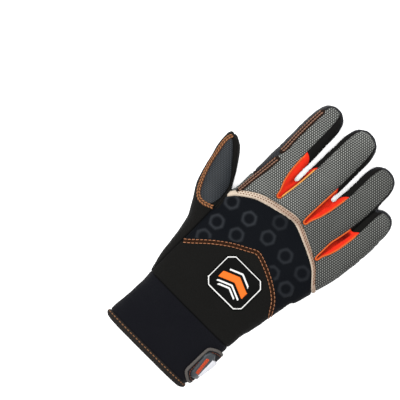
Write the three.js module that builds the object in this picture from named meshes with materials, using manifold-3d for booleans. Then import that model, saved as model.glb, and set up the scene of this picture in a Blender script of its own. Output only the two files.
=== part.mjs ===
// A right-hand anti vibration work glove, lying palm down: stretch back, padded palm and strapped cuff.
// Millimetres, +Z up out of the back of the hand, +Y towards the fingertips, +X towards the little finger.
// Every sewn panel is cut from one hollow hand form, so the panels meet along their seams.
import * as THREE from "three";
import { mergeVertices } from "three/addons/utils/BufferGeometryUtils.js";
import Module from "manifold-3d";

const wasm = await Module();
wasm.setup();

// Driving dimensions
const handLength = 167; // cuff end to the webs of the fingers
const palmWidth = 103; // across the knuckles
const palmThickness = 31;
const wall = 1.8; // of every cloth and leather panel
const seamGap = 0.4; // between two panels along a seam
const seatGap = 0.3; // between a panel and what is sewn on it
const tapeWidth = 4.2; // of the tape that binds the lower edge of the knitted back
const cuffLength = 50;
const bindingWidth = 5;
const bindingThickness = 0.9; // proud of the cuff, inside and out
const padThickness = 4;
const padFlattening = 0.15; // the share of it that the glove's weight presses flat
const ringRelief = 0.9; // of the moulded rings on the knuckle panel
const ringPitch = 19.6;
const ringRadius = 7.6;
const ringHole = 4.2;
const ringLap = 2.5; // a ring may run this far over its panel's edge, and is cut there
const badgeWidth = 40;
const badgeLength = 34;
const badgeCorner = 5.5;
const badgeX = 12.4;
const badgeY = 91;
const badgeThickness = 0.8;
const strapThickness = 2.2;
const insertThickness = 1;
const blockThickness = 2;
const labelThickness = 0.8;
const patchLow = 9.3; // the thumb's patch ends at this height
const coverEdge = 4; // the palm leather ends this far below the middle of a finger's side
const gussetReach = 38; // how far a red web gusset climbs the two fingers beside it
const webDepth = 12; // how far the webs' pieces run down into the hand
const fieldDepth = 3; // how far below the webs the fingers' knitted tongues begin

// A finger's x and y are those of its web end, and its length is the free part beyond the web.
// coverLeft and coverRight are the edges of the knitted back, in shares of half the finger's width.
// On the side that closed names, 1 towards the little finger, the knit runs down to the palm beyond the gusset.
const fingers = [
  { name: "index", rootX: -27, baseX: -25.3, tipX: -26.3, webY: 167, length: 83, width: 27.2, thickness: 23.5,
    coverLeft: -0.62, coverRight: 0.42, closed: 0 },
  { name: "middle", rootX: 4, baseX: 4.3, tipX: 7.3, webY: 167, length: 87, width: 28.4, thickness: 24,
    coverLeft: -0.87, coverRight: 0.78, closed: -1 },
  { name: "ring", rootX: 32, baseX: 32.6, tipX: 38.6, webY: 167, length: 76, width: 26.8, thickness: 23,
    coverLeft: -0.62, coverRight: 0.86, closed: 1 },
  { name: "little", rootX: 47, baseX: 58, tipX: 63, webY: 153, length: 64, width: 20.6, thickness: 20,
    coverLeft: -0.56, coverRight: 1.5, closed: 0 },
];
const thumb = { rootX: -36, rootY: 80, reachX: -37, length: 96, width: 32, thickness: 28, rootZ: 19, dropZ: 8.7 };

// Sections across the hand: along is a share of handLength, left and right are shares of palmWidth,
// middle (the height of the section's centre above the floor) and thick are shares of palmThickness.
const palmSections = [
  { along: 0.0, left: -0.417, right: 0.413, middle: 0.72, thick: 1.12 },
  { along: 0.25, left: -0.4, right: 0.446, middle: 0.7, thick: 1.09 },
  { along: 0.38, left: -0.447, right: 0.461, middle: 0.675, thick: 1.07 },
  { along: 0.5, left: -0.471, right: 0.505, middle: 0.665, thick: 1.05 },
  { along: 0.62, left: -0.485, right: 0.534, middle: 0.655, thick: 1.03 },
  { along: 0.74, left: -0.45, right: 0.58, middle: 0.645, thick: 1.01 },
  { along: 0.85, left: -0.41, right: 0.62, middle: 0.625, thick: 0.97 },
  { along: 0.92, left: -0.38, right: 0.5, middle: 0.603, thick: 0.87 },
  { along: 0.975, left: -0.29, right: 0.36, middle: 0.585, thick: 0.6 },
  { along: 0.987, left: -0.19, right: 0.26, middle: 0.585, thick: 0.3 },
];

// The height of a finger's middle above the floor, as a share of palmThickness, by shares of handLength.
const fingerArch = [
  { along: 0.55, middle: 0.645 },
  { along: 0.9, middle: 0.615 },
  { along: 1.0, middle: 0.58 },
  { along: 1.13, middle: 0.54 },
  { along: 1.26, middle: 0.48 },
  { along: 1.38, middle: 0.43 },
  { along: 1.52, middle: 0.38 },
];

// Sections along a finger: along is a share of its length from the web, width and thick of its own,
// sway is how far it has gone from baseX to tipX, and cover how far its knitted back has narrowed.
const fingerSections = [
  { along: -0.62, width: 1.04, thick: 1.0, sway: 0, cover: 0 },
  { along: 0.0, width: 1.08, thick: 1.1, sway: 0, cover: 0 },
  { along: 0.14, width: 1.03, thick: 1.05, sway: 0.32, cover: 0.6 },
  { along: 0.28, width: 1.01, thick: 1.0, sway: 0.62, cover: 0.9 },
  { along: 0.52, width: 1.0, thick: 1.0, sway: 0.95, cover: 1 },
  { along: 0.78, width: 0.95, thick: 0.97, sway: 1, cover: 1 },
  { along: 0.88, width: 0.85, thick: 0.88, sway: 1, cover: 1 },
  { along: 0.95, width: 0.63, thick: 0.68, sway: 1, cover: 1 },
  { along: 1.0, width: 0.24, thick: 0.28, sway: 1, cover: 1 },
];
const coverAtWeb = 0.86; // the knitted back's half width at the web, as a share of the finger's

// Sections along the thumb: along, sway, drop, width and thick are shares of its own sizes.
const thumbSections = [
  { along: 0, sway: 0, drop: 0, width: 0.75, thick: 0.9 },
  { along: 0.21, sway: 0.04, drop: 0.1, width: 0.91, thick: 0.97 },
  { along: 0.34, sway: 0.2, drop: 0.22, width: 0.97, thick: 1.0 },
  { along: 0.46, sway: 0.39, drop: 0.34, width: 1.0, thick: 1.0 },
  { along: 0.57, sway: 0.52, drop: 0.46, width: 0.94, thick: 0.96 },
  { along: 0.7, sway: 0.635, drop: 0.58, width: 0.87, thick: 0.91 },
  { along: 0.81, sway: 0.76, drop: 0.71, width: 0.75, thick: 0.84 },
  { along: 0.91, sway: 0.87, drop: 0.85, width: 0.56, thick: 0.7 },
  { along: 0.965, sway: 0.945, drop: 0.94, width: 0.36, thick: 0.49 },
  { along: 1, sway: 1, drop: 1, width: 0.13, thick: 0.2 },
];

// Seam lines seen from above: across is a share of palmWidth, along a share of handLength.
const hemLine = [
  { across: -0.6, along: 0.74 },
  { across: -0.43, along: 0.795 },
  { across: -0.36, along: 0.845 },
  { across: -0.19, along: 0.91 },
  { across: 0.0, along: 0.942 },
  { across: 0.115, along: 0.953 },
  { across: 0.29, along: 0.915 },
  { across: 0.47, along: 0.857 },
  { across: 0.6, along: 0.78 },
  { across: 0.8, along: 0.72 },
];
const backLine = [
  { across: -0.6, along: 0.43 },
  { across: -0.39, along: 0.515 },
  { across: -0.24, along: 0.6 },
  { across: -0.1, along: 0.665 },
  { across: 0.095, along: 0.727 },
  { across: 0.27, along: 0.683 },
  { across: 0.43, along: 0.617 },
  { across: 0.51, along: 0.545 },
  { across: 0.8, along: 0.4 },
];
// Where the palm leather ends on the thumb side, on the underside.
const leatherLine = [
  { across: -0.26, along: 0.2 },
  { across: -0.27, along: 0.3 },
  { across: -0.32, along: 0.38 },
  { across: -0.345, along: 0.5 },
  { across: -0.385, along: 0.62 },
  { across: -0.45, along: 0.69 },
  { across: -0.53, along: 0.76 },
  { across: -0.585, along: 0.87 },
  { across: -0.64, along: 0.96 },
  { across: -0.69, along: 1.04 },
  { across: -0.74, along: 1.1 },
];
const thumbSeam = -0.408; // share of palmWidth, between the back panels and the thumb's own panel
const thumbPatch = [
  { across: -0.42, along: 0.735 },
  { across: -0.52, along: 0.705 },
  { across: -0.58, along: 0.735 },
  { across: -0.665, along: 0.86 },
  { across: -0.69, along: 0.95 },
  { across: -0.692, along: 1.02 },
  { across: -0.67, along: 1.025 },
  { across: -0.6, along: 0.965 },
  { across: -0.5, along: 0.895 },
  { across: -0.432, along: 0.845 },
];
const padOutlines = {
  upper_palm_pad: [
    { across: -0.15, along: 0.962 },
    { across: 0.39, along: 0.928 },
    { across: 0.52, along: 0.895 },
    { across: 0.535, along: 0.76 },
    { across: 0.5, along: 0.715 },
    { across: 0.2, along: 0.737 },
    { across: -0.16, along: 0.778 },
    { across: -0.235, along: 0.83 },
    { across: -0.22, along: 0.925 },
  ],
  heel_pad: [
    { across: -0.07, along: 0.728 },
    { across: 0.46, along: 0.672 },
    { across: 0.48, along: 0.63 },
    { across: 0.42, along: 0.4 },
    { across: 0.37, along: 0.36 },
    { across: 0.0, along: 0.383 },
    { across: -0.09, along: 0.415 },
    { across: -0.12, along: 0.47 },
    { across: -0.12, along: 0.69 },
  ],
  thumb_pad: [
    { across: -0.43, along: 0.77 },
    { across: -0.36, along: 0.8 },
    { across: -0.27, along: 0.775 },
    { across: -0.25, along: 0.66 },
    { across: -0.3, along: 0.6 },
    { across: -0.38, along: 0.65 },
  ],
};
// The strap's outlines are shares of palmWidth and of cuffLength. It runs off both at the little finger's edge.
const strapUnder = [
  { across: -0.27, along: 0.24 },
  { across: -0.25, along: 0.56 },
  { across: -0.21, along: 0.6 },
  { across: 0.7, along: 0.92 },
  { across: 0.7, along: 0.2 },
  { across: 0.36, along: 0.24 },
  { across: 0.26, along: 0.3 },
  { across: 0.18, along: 0.18 },
  { across: -0.21, along: 0.17 },
];
const strapOver = [
  { across: 0.7, along: 0.86 },
  { across: 0.4, along: 0.86 },
  { across: 0.335, along: 0.76 },
  { across: 0.325, along: 0.3 },
  { across: 0.375, along: 0.2 },
  { across: 0.7, along: 0.2 },
];
const insertOutline = [
  { across: -0.22, along: 0.28 },
  { across: -0.2, along: 0.52 },
  { across: 0.28, along: 0.68 },
  { across: 0.235, along: 0.36 },
  { across: 0.17, along: 0.25 },
];
const strapBlock = [
  { across: 0.352, along: 0.72 },
  { across: 0.385, along: 0.78 },
  { across: 0.4, along: 0.78 },
  { across: 0.4, along: 0.27 },
  { across: 0.375, along: 0.27 },
  { across: 0.352, along: 0.33 },
];
const labelUnder = { left: 0.37, right: 0.7, low: 0.4, high: 0.68 };
const labelOver = { left: 0.415, right: 0.7, low: 0.34, high: 0.7 };
const ringRows = [
  { along: 0.585, count: 1, first: -0.3 },
  { along: 0.693, count: 5, first: -0.317 },
  { along: 0.811, count: 5, first: -0.345 },
  { along: 0.9, count: 1, first: 0.045 },
];

// Far enough to pass right through the glove
const farX = 2 * palmWidth;
const farZ = 3 * palmThickness;
const beyondHand = 3 * handLength;
const palmFacets = 28;
const fingerFacets = 12;
const holeFacets = 6;
const mouthOvercut = 4; // times the wall, so that the hollow opens at the cuff's end
const thinnest = 1; // half size of the smallest section
const palmSquareness = 2.6; // 2 is an ellipse
const fingerSquareness = 2.3;
const cuffSeamY = cuffLength;
const thumbSeamX = thumbSeam * palmWidth;

// The value of one column of a table at a place, on straight lines between its rows.
function read(table, place, column, key = "along") {
  const last = table.length - 1;
  if (place <= table[0][key]) return table[0][column];
  if (place >= table[last][key]) return table[last][column];
  const after = table.findIndex((row) => row[key] >= place);
  const [a, b] = [table[after - 1], table[after]];
  return THREE.MathUtils.lerp(a[column], b[column], (place - a[key]) / (b[key] - a[key]));
}

function toSolid(geometry) {
  const bare = geometry.index ? geometry.toNonIndexed() : geometry.clone();
  bare.deleteAttribute("normal");
  bare.deleteAttribute("uv");
  const merged = mergeVertices(bare, 1e-4);
  const vertProperties = merged.attributes.position.array;
  const triVerts = new Uint32Array(merged.index.array);
  return new wasm.Manifold(new wasm.Mesh({ numProp: 3, vertProperties, triVerts }));
}

function joined(solids) {
  return solids.reduce((all, next) => all.add(next));
}

// A closed tube along Y through round-cornered sections, each with its centre x, z and half sizes.
function tube(stations, facets, squareness) {
  const geometry = new THREE.CylinderGeometry(1, 1, 1, facets, stations.length - 1);
  const place = geometry.getAttribute("position");
  const bulge = (v) => Math.sign(v) * Math.abs(v) ** (2 / squareness);
  for (let i = 0; i < place.count; i++) {
    const s = stations[Math.round((place.getY(i) + 0.5) * (stations.length - 1))];
    const x = s.x + bulge(place.getX(i)) * s.halfWidth;
    const z = s.z + bulge(place.getZ(i)) * s.halfThickness;
    place.setXYZ(i, x, s.y, z);
  }
  return toSolid(geometry);
}

// A closed bar along Y whose section is the box from left to right and from low to high at each station.
function bar(stations) {
  const geometry = new THREE.BoxGeometry(1, 1, 1, 1, stations.length - 1, 1);
  const place = geometry.getAttribute("position");
  for (let i = 0; i < place.count; i++) {
    const s = stations[Math.round((place.getY(i) + 0.5) * (stations.length - 1))];
    const x = place.getX(i) < 0 ? s.left : s.right;
    const z = place.getZ(i) < 0 ? (s.low ?? -farZ) : (s.high ?? farZ);
    place.setXYZ(i, x, s.y, z);
  }
  return toSolid(geometry);
}

function prism(points, low = -farZ, high = farZ, holes = []) {
  const shape = new THREE.Shape(points.map(([x, y]) => new THREE.Vector2(x, y)));
  shape.holes = holes;
  const geometry = new THREE.ExtrudeGeometry(shape, { depth: high - low, bevelEnabled: false, curveSegments: holeFacets / 2 });
  return toSolid(geometry.translate(0, 0, low));
}

function onHand(table, length = handLength) {
  return table.map((row) => [row.across * palmWidth, row.along * length]);
}

// A rounded outline through an outline's points, for pads and tabs.
function softened(points, steps = 3) {
  const curve = new THREE.CatmullRomCurve3(points.map(([x, y]) => new THREE.Vector3(x, y, 0)), true, "centripetal");
  return curve.getPoints(points.length * steps).slice(0, -1).map((p) => [p.x, p.y]);
}

function palmStations(grow) {
  const stations = palmSections.map((row) => ({
    y: row.along * handLength,
    x: ((row.left + row.right) / 2) * palmWidth,
    z: row.middle * palmThickness,
    halfWidth: ((row.right - row.left) / 2) * palmWidth + grow,
    halfThickness: (row.thick * palmThickness) / 2 + grow,
  }));
  stations[0].y = Math.min(grow, 0) * mouthOvercut;
  stations.at(-1).y += grow;
  return stations;
}

function archZ(y) {
  return read(fingerArch, y / handLength, "middle") * palmThickness;
}

function fingerX(finger, row) {
  if (row.along < 0) return THREE.MathUtils.lerp(finger.baseX, finger.rootX, row.along / fingerSections[0].along);
  return THREE.MathUtils.lerp(finger.baseX, finger.tipX, row.sway);
}

function fingerStations(finger, grow) {
  return fingerSections.map((row, i) => {
    const y = finger.webY + row.along * finger.length;
    return {
      y: i === fingerSections.length - 1 ? y + grow : y,
      x: fingerX(finger, row),
      z: archZ(y),
      halfWidth: Math.max((row.width * finger.width) / 2 + grow, thinnest),
      halfThickness: Math.max((row.thick * finger.thickness) / 2 + grow, thinnest),
      cover: row.cover,
    };
  });
}

function thumbStations(grow) {
  return thumbSections.map((row, i) => ({
    y: thumb.rootY + row.along * thumb.length + (i === thumbSections.length - 1 ? grow : 0),
    x: thumb.rootX + row.sway * thumb.reachX,
    z: thumb.rootZ - row.drop * thumb.dropZ,
    halfWidth: Math.max((row.width * thumb.width) / 2 + grow, thinnest),
    halfThickness: Math.max((row.thick * thumb.thickness) / 2 + grow, thinnest),
  }));
}

// The whole hand, grown or shrunk evenly from the outside of the glove.
function handForm(grow) {
  const palm = tube(palmStations(grow), palmFacets, palmSquareness);
  const digits = fingers.map((finger) => tube(fingerStations(finger, grow), fingerFacets, fingerSquareness));
  return joined([palm, ...digits, tube(thumbStations(grow), fingerFacets, fingerSquareness)]);
}

// What lies between two offsets of the hand form, such as a pad sewn on the outside.
function layer(low, high) {
  return handForm(high).subtract(handForm(low));
}

function beyond(y) {
  return prism([[-farX, y], [farX, y], [farX, beyondHand], [-farX, beyondHand]]);
}

// Everything nearer the fingers than a seam line.
function above(line, grow) {
  const points = onHand(line).map(([x, y]) => [x, y - grow]);
  return prism([...points, [points.at(-1)[0], beyondHand], [points[0][0], beyondHand]]);
}

// The leather palm: the underside, and the wrap up the thumb side of the index finger.
function leatherZone(grow) {
  const heights = fingerArch.map((row) => ({
    y: row.along * handLength,
    left: -farX,
    right: farX,
    high: row.middle * palmThickness - coverEdge + grow,
  }));
  const under = bar([{ ...heights[0], y: 0 }, ...heights, { ...heights.at(-1), y: beyondHand }]);
  const edge = onHand(leatherLine).map(([x, y]) => ({ y, left: x - grow, right: farX }));
  const side = bar([...edge, { ...edge.at(-1), y: beyondHand }]);
  const [index] = fingers;
  const wrap = bar(fingerStations(index, 0).slice(1).map((s) => ({
    y: s.y,
    left: thumbSeamX - grow,
    right: coverEdgeX(s, index.coverLeft) - seamGap + grow,
  })));
  return under.intersect(side).add(wrap);
}

// The edge of the knitted back at a section of a finger: wide at the web, then at its own share.
function coverEdgeX(station, share) {
  const atWeb = Math.sign(share) * coverAtWeb;
  return station.x + THREE.MathUtils.lerp(atWeb, share, station.cover) * station.halfWidth;
}

// A bar just round the free part of a finger, or round half of it.
function around(finger, half = {}) {
  const rows = fingerStations(finger, seamGap / 2).slice(1);
  const last = { ...rows.at(-2), y: beyondHand };
  return bar([...rows.slice(0, -1), last].map((s) => ({
    y: s.y,
    left: s.x + (half.left ?? -s.halfWidth),
    right: s.x + (half.right ?? s.halfWidth),
  })));
}

// The knitted back of the hand beyond the knuckles, with a tongue along each finger.
function knitZone(grow) {
  const left = thumbSeamX + seamGap - grow;
  const webs = fingers.map((finger) => finger.webY);
  const ringEdge = (fingers[2].baseX + fingers[3].baseX) / 2;
  const field = prism([
    [left, 0],
    [farX, 0],
    [farX, webs[3] - fieldDepth + grow],
    [ringEdge, webs[3] - fieldDepth + grow],
    [ringEdge, webs[2] - fieldDepth + grow],
    [left, webs[0] - fieldDepth + grow],
  ]);
  const closed = fingers.filter((finger) => finger.closed);
  const sides = closed.map((finger) => {
    const neighbour = fingers[fingers.indexOf(finger) + finger.closed];
    const half = finger.closed < 0 ? { right: 0 } : { left: 0 };
    return around(finger, half).intersect(beyond(gussetTop(finger, neighbour) + seamGap - grow));
  });
  const tongues = fingers.map((finger) => {
    const rows = fingerStations(finger, 0).slice(1).map((s) => {
      const right = finger.coverRight > 1 ? farX : coverEdgeX(s, finger.coverRight) + grow;
      return { y: s.y, left: coverEdgeX(s, finger.coverLeft) - grow, right };
    });
    const root = { ...rows[0], y: finger.webY - webDepth };
    return bar([root, ...rows.slice(0, -1), { ...rows.at(-1), y: beyondHand }]);
  });
  return joined([field, ...tongues, ...sides]).intersect(above(hemLine, grow));
}

function gussetTop(a, b) {
  return Math.min(a.webY, b.webY) + gussetReach;
}

// The red gusset between a finger and its neighbour, up both of their sides.
function gussetZone(a, b, grow) {
  const low = Math.min(a.webY, b.webY) - webDepth;
  const high = gussetTop(a, b);
  return prism([
    [a.baseX, low],
    [b.baseX, low],
    [b.tipX, high + grow],
    [a.tipX, high + grow],
  ]);
}

// The thumb's side of the seam down the back of the hand, and the strip under it up to the leather.
function thumbZone(grow) {
  const reach = -0.2 * palmWidth;
  const back = prism([[-farX, 0], [thumbSeamX + grow, 0], [thumbSeamX + grow, beyondHand], [-farX, beyondHand]]);
  const strip = [[-farX, 0], [reach, 0], [reach, handLength], [-farX, handLength]];
  return back.add(prism(strip, -farZ, palmThickness / 2 + grow));
}

// The biggest body of a cut, without its offcuts.
function mainBody(solid) {
  return solid.decompose().sort((a, b) => b.volume() - a.volume())[0];
}

const looks = {
  knit: { color: 0x8b8b86, roughness: 0.9 },
  stretch: { color: 0x1c1c1c, roughness: 0.85 },
  neoprene: { color: 0x15161c, roughness: 0.7 },
  leather: { color: 0x232529, roughness: 0.55 },
  gusset: { color: 0xe8401f, roughness: 0.75 },
  binding: { color: 0x4a3a30, roughness: 0.8 },
  rubber: { color: 0x3b4347, roughness: 0.5 },
  trim: { color: 0x5c5753, roughness: 0.7 },
  label: { color: 0xe9e6e6, roughness: 0.8 },
  print: { color: 0xf07a2a, roughness: 0.6 },
};

const glove = new THREE.Group();

function addPiece(name, solid, look) {
  const mesh = mainBody(solid).getMesh();
  const geometry = new THREE.BufferGeometry();
  const corners = new Float32Array(mesh.numVert * 3);
  for (let i = 0; i < mesh.numVert; i++) {
    corners.set(mesh.vertProperties.subarray(i * mesh.numProp, i * mesh.numProp + 3), i * 3);
  }
  geometry.setAttribute("position", new THREE.BufferAttribute(corners, 3));
  geometry.setIndex(new THREE.BufferAttribute(mesh.triVerts, 1));
  geometry.computeVertexNormals();
  const piece = new THREE.Mesh(geometry, new THREE.MeshStandardMaterial({ metalness: 0, ...looks[look] }));
  piece.name = name;
  glove.add(piece);
}

const shell = layer(-wall, 0);
const hand = shell.intersect(beyond(cuffSeamY + seamGap));

// Palm side
addPiece("palm_leather", hand.intersect(leatherZone(0)), "leather");
const upper = hand.subtract(leatherZone(seamGap));

// Knitted back, then what is left of each finger's sides
addPiece("knit_back", upper.intersect(knitZone(0)).intersect(above(hemLine, -tapeWidth)), "knit");
addPiece("knit_tape", upper.intersect(knitZone(0)).subtract(above(hemLine, seamGap - tapeWidth)), "binding");
const unknitted = upper.subtract(knitZone(seamGap));
const backOfHand = unknitted.subtract(thumbZone(seamGap));
const webs = backOfHand.intersect(above(hemLine, 0));

for (let i = 0; i < fingers.length - 1; i++) {
  const [a, b] = [fingers[i], fingers[i + 1]];
  addPiece(`${a.name}_${b.name}_gusset`, webs.intersect(gussetZone(a, b, 0)), "gusset");
}
fingers.forEach((finger, i) => {
  const gussets = [i - 1, i].filter((k) => fingers[k] && fingers[k + 1]);
  const cut = joined(gussets.map((k) => gussetZone(fingers[k], fingers[k + 1], seamGap)));
  addPiece(`${finger.name}_sidewall`, webs.intersect(around(finger)).subtract(cut), "stretch");
});

// Back of the hand: the moulded knuckle panel over the plain panel that carries the badge
const beforeHem = backOfHand.subtract(above(hemLine, seamGap));
const rings = ringRows.flatMap((row) =>
  Array.from({ length: row.count }, (_, i) => [row.first * palmWidth + i * ringPitch, row.along * handLength]));
const lineY = (line, x) => {
  const points = onHand(line).map(([px, y]) => ({ px, y }));
  return read(points, x, "y", "px");
};
const ringFits = ([x, y]) =>
  y - ringRadius > lineY(backLine, x) - ringLap && y + ringRadius < lineY(hemLine, x) + ringLap;
const moulded = rings.filter(ringFits).map(([x, y]) => {
  const hexagon = Array.from({ length: 6 }, (_, i) => [
    x + ringRadius * Math.cos((i * Math.PI) / 3),
    y + ringRadius * Math.sin((i * Math.PI) / 3),
  ]);
  const hole = new THREE.Path().absarc(x, y, ringHole, 0, 2 * Math.PI, true);
  return prism(hexagon, palmThickness / 2, farZ, [hole]);
});
const knuckleZone = above(backLine, -seamGap / 2).subtract(above(hemLine, seamGap));
const relief = layer(-wall / 2, ringRelief).intersect(joined(moulded)).subtract(thumbZone(seamGap));
addPiece("knuckle_panel", beforeHem.add(relief).intersect(knuckleZone), "neoprene");
addPiece("hand_back_panel", beforeHem.subtract(above(backLine, seamGap / 2)), "stretch");

// Thumb: its own panel, cut out for the leather patch
const patchOutline = softened(onHand(thumbPatch));
const patchZone = prism(patchOutline, patchLow);
const patchHole = prism(patchOutline, patchLow - seamGap);
const thumbShell = unknitted.intersect(thumbZone(0));
const grownHole = joined([-1, 1].flatMap((dx) =>
  [-1, 1].map((dy) => patchHole.translate([(dx * seamGap) / 2, (dy * seamGap) / 2, 0]))));
addPiece("thumb_patch", thumbShell.intersect(patchZone), "leather");
addPiece("thumb_panel", thumbShell.subtract(grownHole), "stretch");

// Pads sewn on the palm, pressed flat where the glove rests
const padLayer = layer(seatGap, seatGap + padThickness);
const lowest = Math.min(...palmSections.map((row) => row.middle - row.thick / 2)) * palmThickness;
const floorZ = lowest - padThickness * (1 - padFlattening);
for (const [name, outline] of Object.entries(padOutlines)) {
  const zone = prism(softened(onHand(outline)), floorZ, palmThickness / 2);
  addPiece(name, padLayer.intersect(zone), "leather");
}

// Cuff, its bound end, and the strap that closes it
addPiece("cuff", shell.subtract(beyond(cuffSeamY)).intersect(beyond(bindingWidth + seatGap)), "neoprene");
const bound = layer(-wall - bindingThickness, bindingThickness);
addPiece("cuff_binding", bound.subtract(beyond(bindingWidth)), "binding");

const cuffMiddleZ = palmSections[2].middle * palmThickness;
function wrapped(low, high, under, over) {
  const belt = layer(low, high).subtract(beyond(cuffSeamY));
  const zones = [];
  if (under) zones.push(prism(under, -farZ, cuffMiddleZ + seamGap));
  if (over) zones.push(prism(over, cuffMiddleZ, farZ));
  return belt.intersect(joined(zones));
}
function labelBox(box) {
  return [
    [box.left * palmWidth, box.low * cuffLength],
    [box.right * palmWidth, box.low * cuffLength],
    [box.right * palmWidth, box.high * cuffLength],
    [box.left * palmWidth, box.high * cuffLength],
  ];
}
const strapTop = seatGap + strapThickness;
const cuffOutline = (table) => onHand(table, cuffLength);
addPiece("wrist_strap", wrapped(seatGap, strapTop, cuffOutline(strapUnder), cuffOutline(strapOver)), "trim");
const insertLow = strapTop + seatGap;
addPiece("strap_insert", wrapped(insertLow, insertLow + insertThickness, cuffOutline(insertOutline), null), "rubber");
addPiece("strap_block", wrapped(insertLow, insertLow + blockThickness, null, cuffOutline(strapBlock)), "rubber");
addPiece("pull_label",
  wrapped(insertLow, insertLow + labelThickness, labelBox(labelUnder), labelBox(labelOver)), "label");

// A plain badge on the back panel
const [halfX, halfY] = [badgeWidth / 2, badgeLength / 2];
const badge = [[1, 1], [-1, 1], [-1, -1], [1, -1]].flatMap(([u, v]) => {
  const corners = [[badgeX + u * (halfX - badgeCorner), badgeY + v * halfY]];
  corners.push([badgeX + u * halfX, badgeY + v * (halfY - badgeCorner)]);
  return u * v > 0 ? corners.reverse() : corners;
});
addPiece("badge", layer(seatGap, seatGap + badgeThickness).intersect(prism(badge, palmThickness / 2)), "print");

// The origin is the middle of the glove's footprint, on the floor
const extent = new THREE.Box3().setFromObject(glove);
const middle = extent.getCenter(new THREE.Vector3());
for (const piece of glove.children) piece.position.set(-middle.x, -middle.y, -extent.min.z);

export default glove;
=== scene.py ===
import math
import random
import bpy
import bmesh
import numpy as np
from mathutils import Matrix, Vector, noise
from mathutils.bvhtree import BVHTree
from mathutils.kdtree import KDTree


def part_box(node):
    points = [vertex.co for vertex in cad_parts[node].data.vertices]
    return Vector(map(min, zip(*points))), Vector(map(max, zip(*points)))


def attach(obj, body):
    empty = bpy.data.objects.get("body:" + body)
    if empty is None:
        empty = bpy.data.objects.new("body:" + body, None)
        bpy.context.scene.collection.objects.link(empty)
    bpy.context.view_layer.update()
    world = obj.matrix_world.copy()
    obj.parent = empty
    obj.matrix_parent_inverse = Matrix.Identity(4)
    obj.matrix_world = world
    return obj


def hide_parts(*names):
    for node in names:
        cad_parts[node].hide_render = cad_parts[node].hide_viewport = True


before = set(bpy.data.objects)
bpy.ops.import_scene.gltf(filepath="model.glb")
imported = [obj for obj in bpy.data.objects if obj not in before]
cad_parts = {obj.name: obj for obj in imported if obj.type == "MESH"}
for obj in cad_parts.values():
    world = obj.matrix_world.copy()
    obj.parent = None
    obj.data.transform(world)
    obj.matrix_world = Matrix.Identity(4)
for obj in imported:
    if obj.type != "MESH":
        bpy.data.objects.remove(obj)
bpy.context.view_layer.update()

# A right-hand padded work glove. The sewing is worked out in millimetres in the glove's own layout,
# x towards the little finger and y from the cuff's end to the fingertips, and put in place at the end.
mm = 0.001
random.seed(11)
seamShare = 0.4 * mm  # the frame's gap along a seam
layoutFloor = -0.933  # the layout's zero lies this far below the floor, in millimetres


def table(columns, rows):
    # the rows of a table, each with the names of its columns
    return [dict(zip(columns.split(), row)) for row in rows]


hand = {
    "length": 167,  # cuff end to the webs
    "width": 103,  # across the knuckles
    "thickness": 31,
    "wall": 1.8,
    "cuffLength": 50,
    "coverEdge": 4,  # the leather ends this far below the middle of a finger's side
    "tipCurl": 9,  # and at a fingertip it comes this much higher
    "curlFrom": 0.62,
    "curlLength": 0.3,
    "thumbSeam": -42.0,
    "webDepth": 12,
    "fieldDepth": 3,
    "gussetReach": 38,
    "palmWeb": 6,  # on the palm side a gusset starts this far below the web,
    "palmReach": 20,  # ends this far above it
    "palmDrop": 5,  # and pushes the leather's edge down by this
    "coverAtWeb": 0.8,
    "bindingWidth": 5,
    "backDepth": 8,  # the back reaches this far below the middle of a finger's side
    "bellyRise": 2,  # and the palm side this far above it
    "patchLap": 3,
    "gussetRise": 9,  # a gusset's top edge leans from here
    "gussetLean": 0.9,
    "voxel": 0.9,
    "smoothing": 14,
    "cuffHalf": 0.415,
    "cuffRound": 2.4,  # how far the cuff's end is drawn in at its two sides
    "wristFold": 0.9,
    "palmSquareness": 2.6,
    "fingerSquareness": 2.3,
}

palmSections = table("along left right middle thick", [
    (-0.04, -0.417, 0.413, 0.72, 1.12),
    (0.0, -0.417, 0.413, 0.72, 1.12),
    (0.25, -0.4, 0.446, 0.7, 1.09),
    (0.38, -0.447, 0.461, 0.675, 1.07),
    (0.5, -0.471, 0.505, 0.665, 1.05),
    (0.62, -0.485, 0.534, 0.655, 1.03),
    (0.74, -0.45, 0.58, 0.645, 1.01),
    (0.85, -0.41, 0.62, 0.625, 0.97),
    (0.92, -0.38, 0.5, 0.603, 0.87),
    (0.975, -0.29, 0.36, 0.585, 0.6),
    (0.987, -0.19, 0.26, 0.585, 0.3),
])
fingerArch = table("along middle", [
    (0.55, 0.645), (0.9, 0.615), (1.0, 0.58), (1.13, 0.54), (1.26, 0.48), (1.38, 0.43), (1.52, 0.38),
])
fingers = [
    {"name": "index", "rootX": -27, "baseX": -25.3, "tipX": -26, "webY": 167, "length": 83.5,
     "width": 27.8, "thickness": 23.5, "coverLeft": -0.66, "coverRight": 0.42},
    {"name": "middle", "rootX": 4, "baseX": 3.9, "tipX": 7, "webY": 167, "length": 88,
     "width": 30.2, "thickness": 24, "coverLeft": -0.8, "coverRight": 0.78},
    {"name": "ring", "rootX": 32, "baseX": 32.7, "tipX": 38.8, "webY": 167, "length": 77,
     "width": 28, "thickness": 23, "coverLeft": -0.66, "coverRight": 0.88},
    {"name": "little", "rootX": 47, "baseX": 57.2, "tipX": 62, "webY": 153, "length": 65.5,
     "width": 23, "thickness": 20, "coverLeft": -0.56, "coverRight": 1.5},
]
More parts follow.
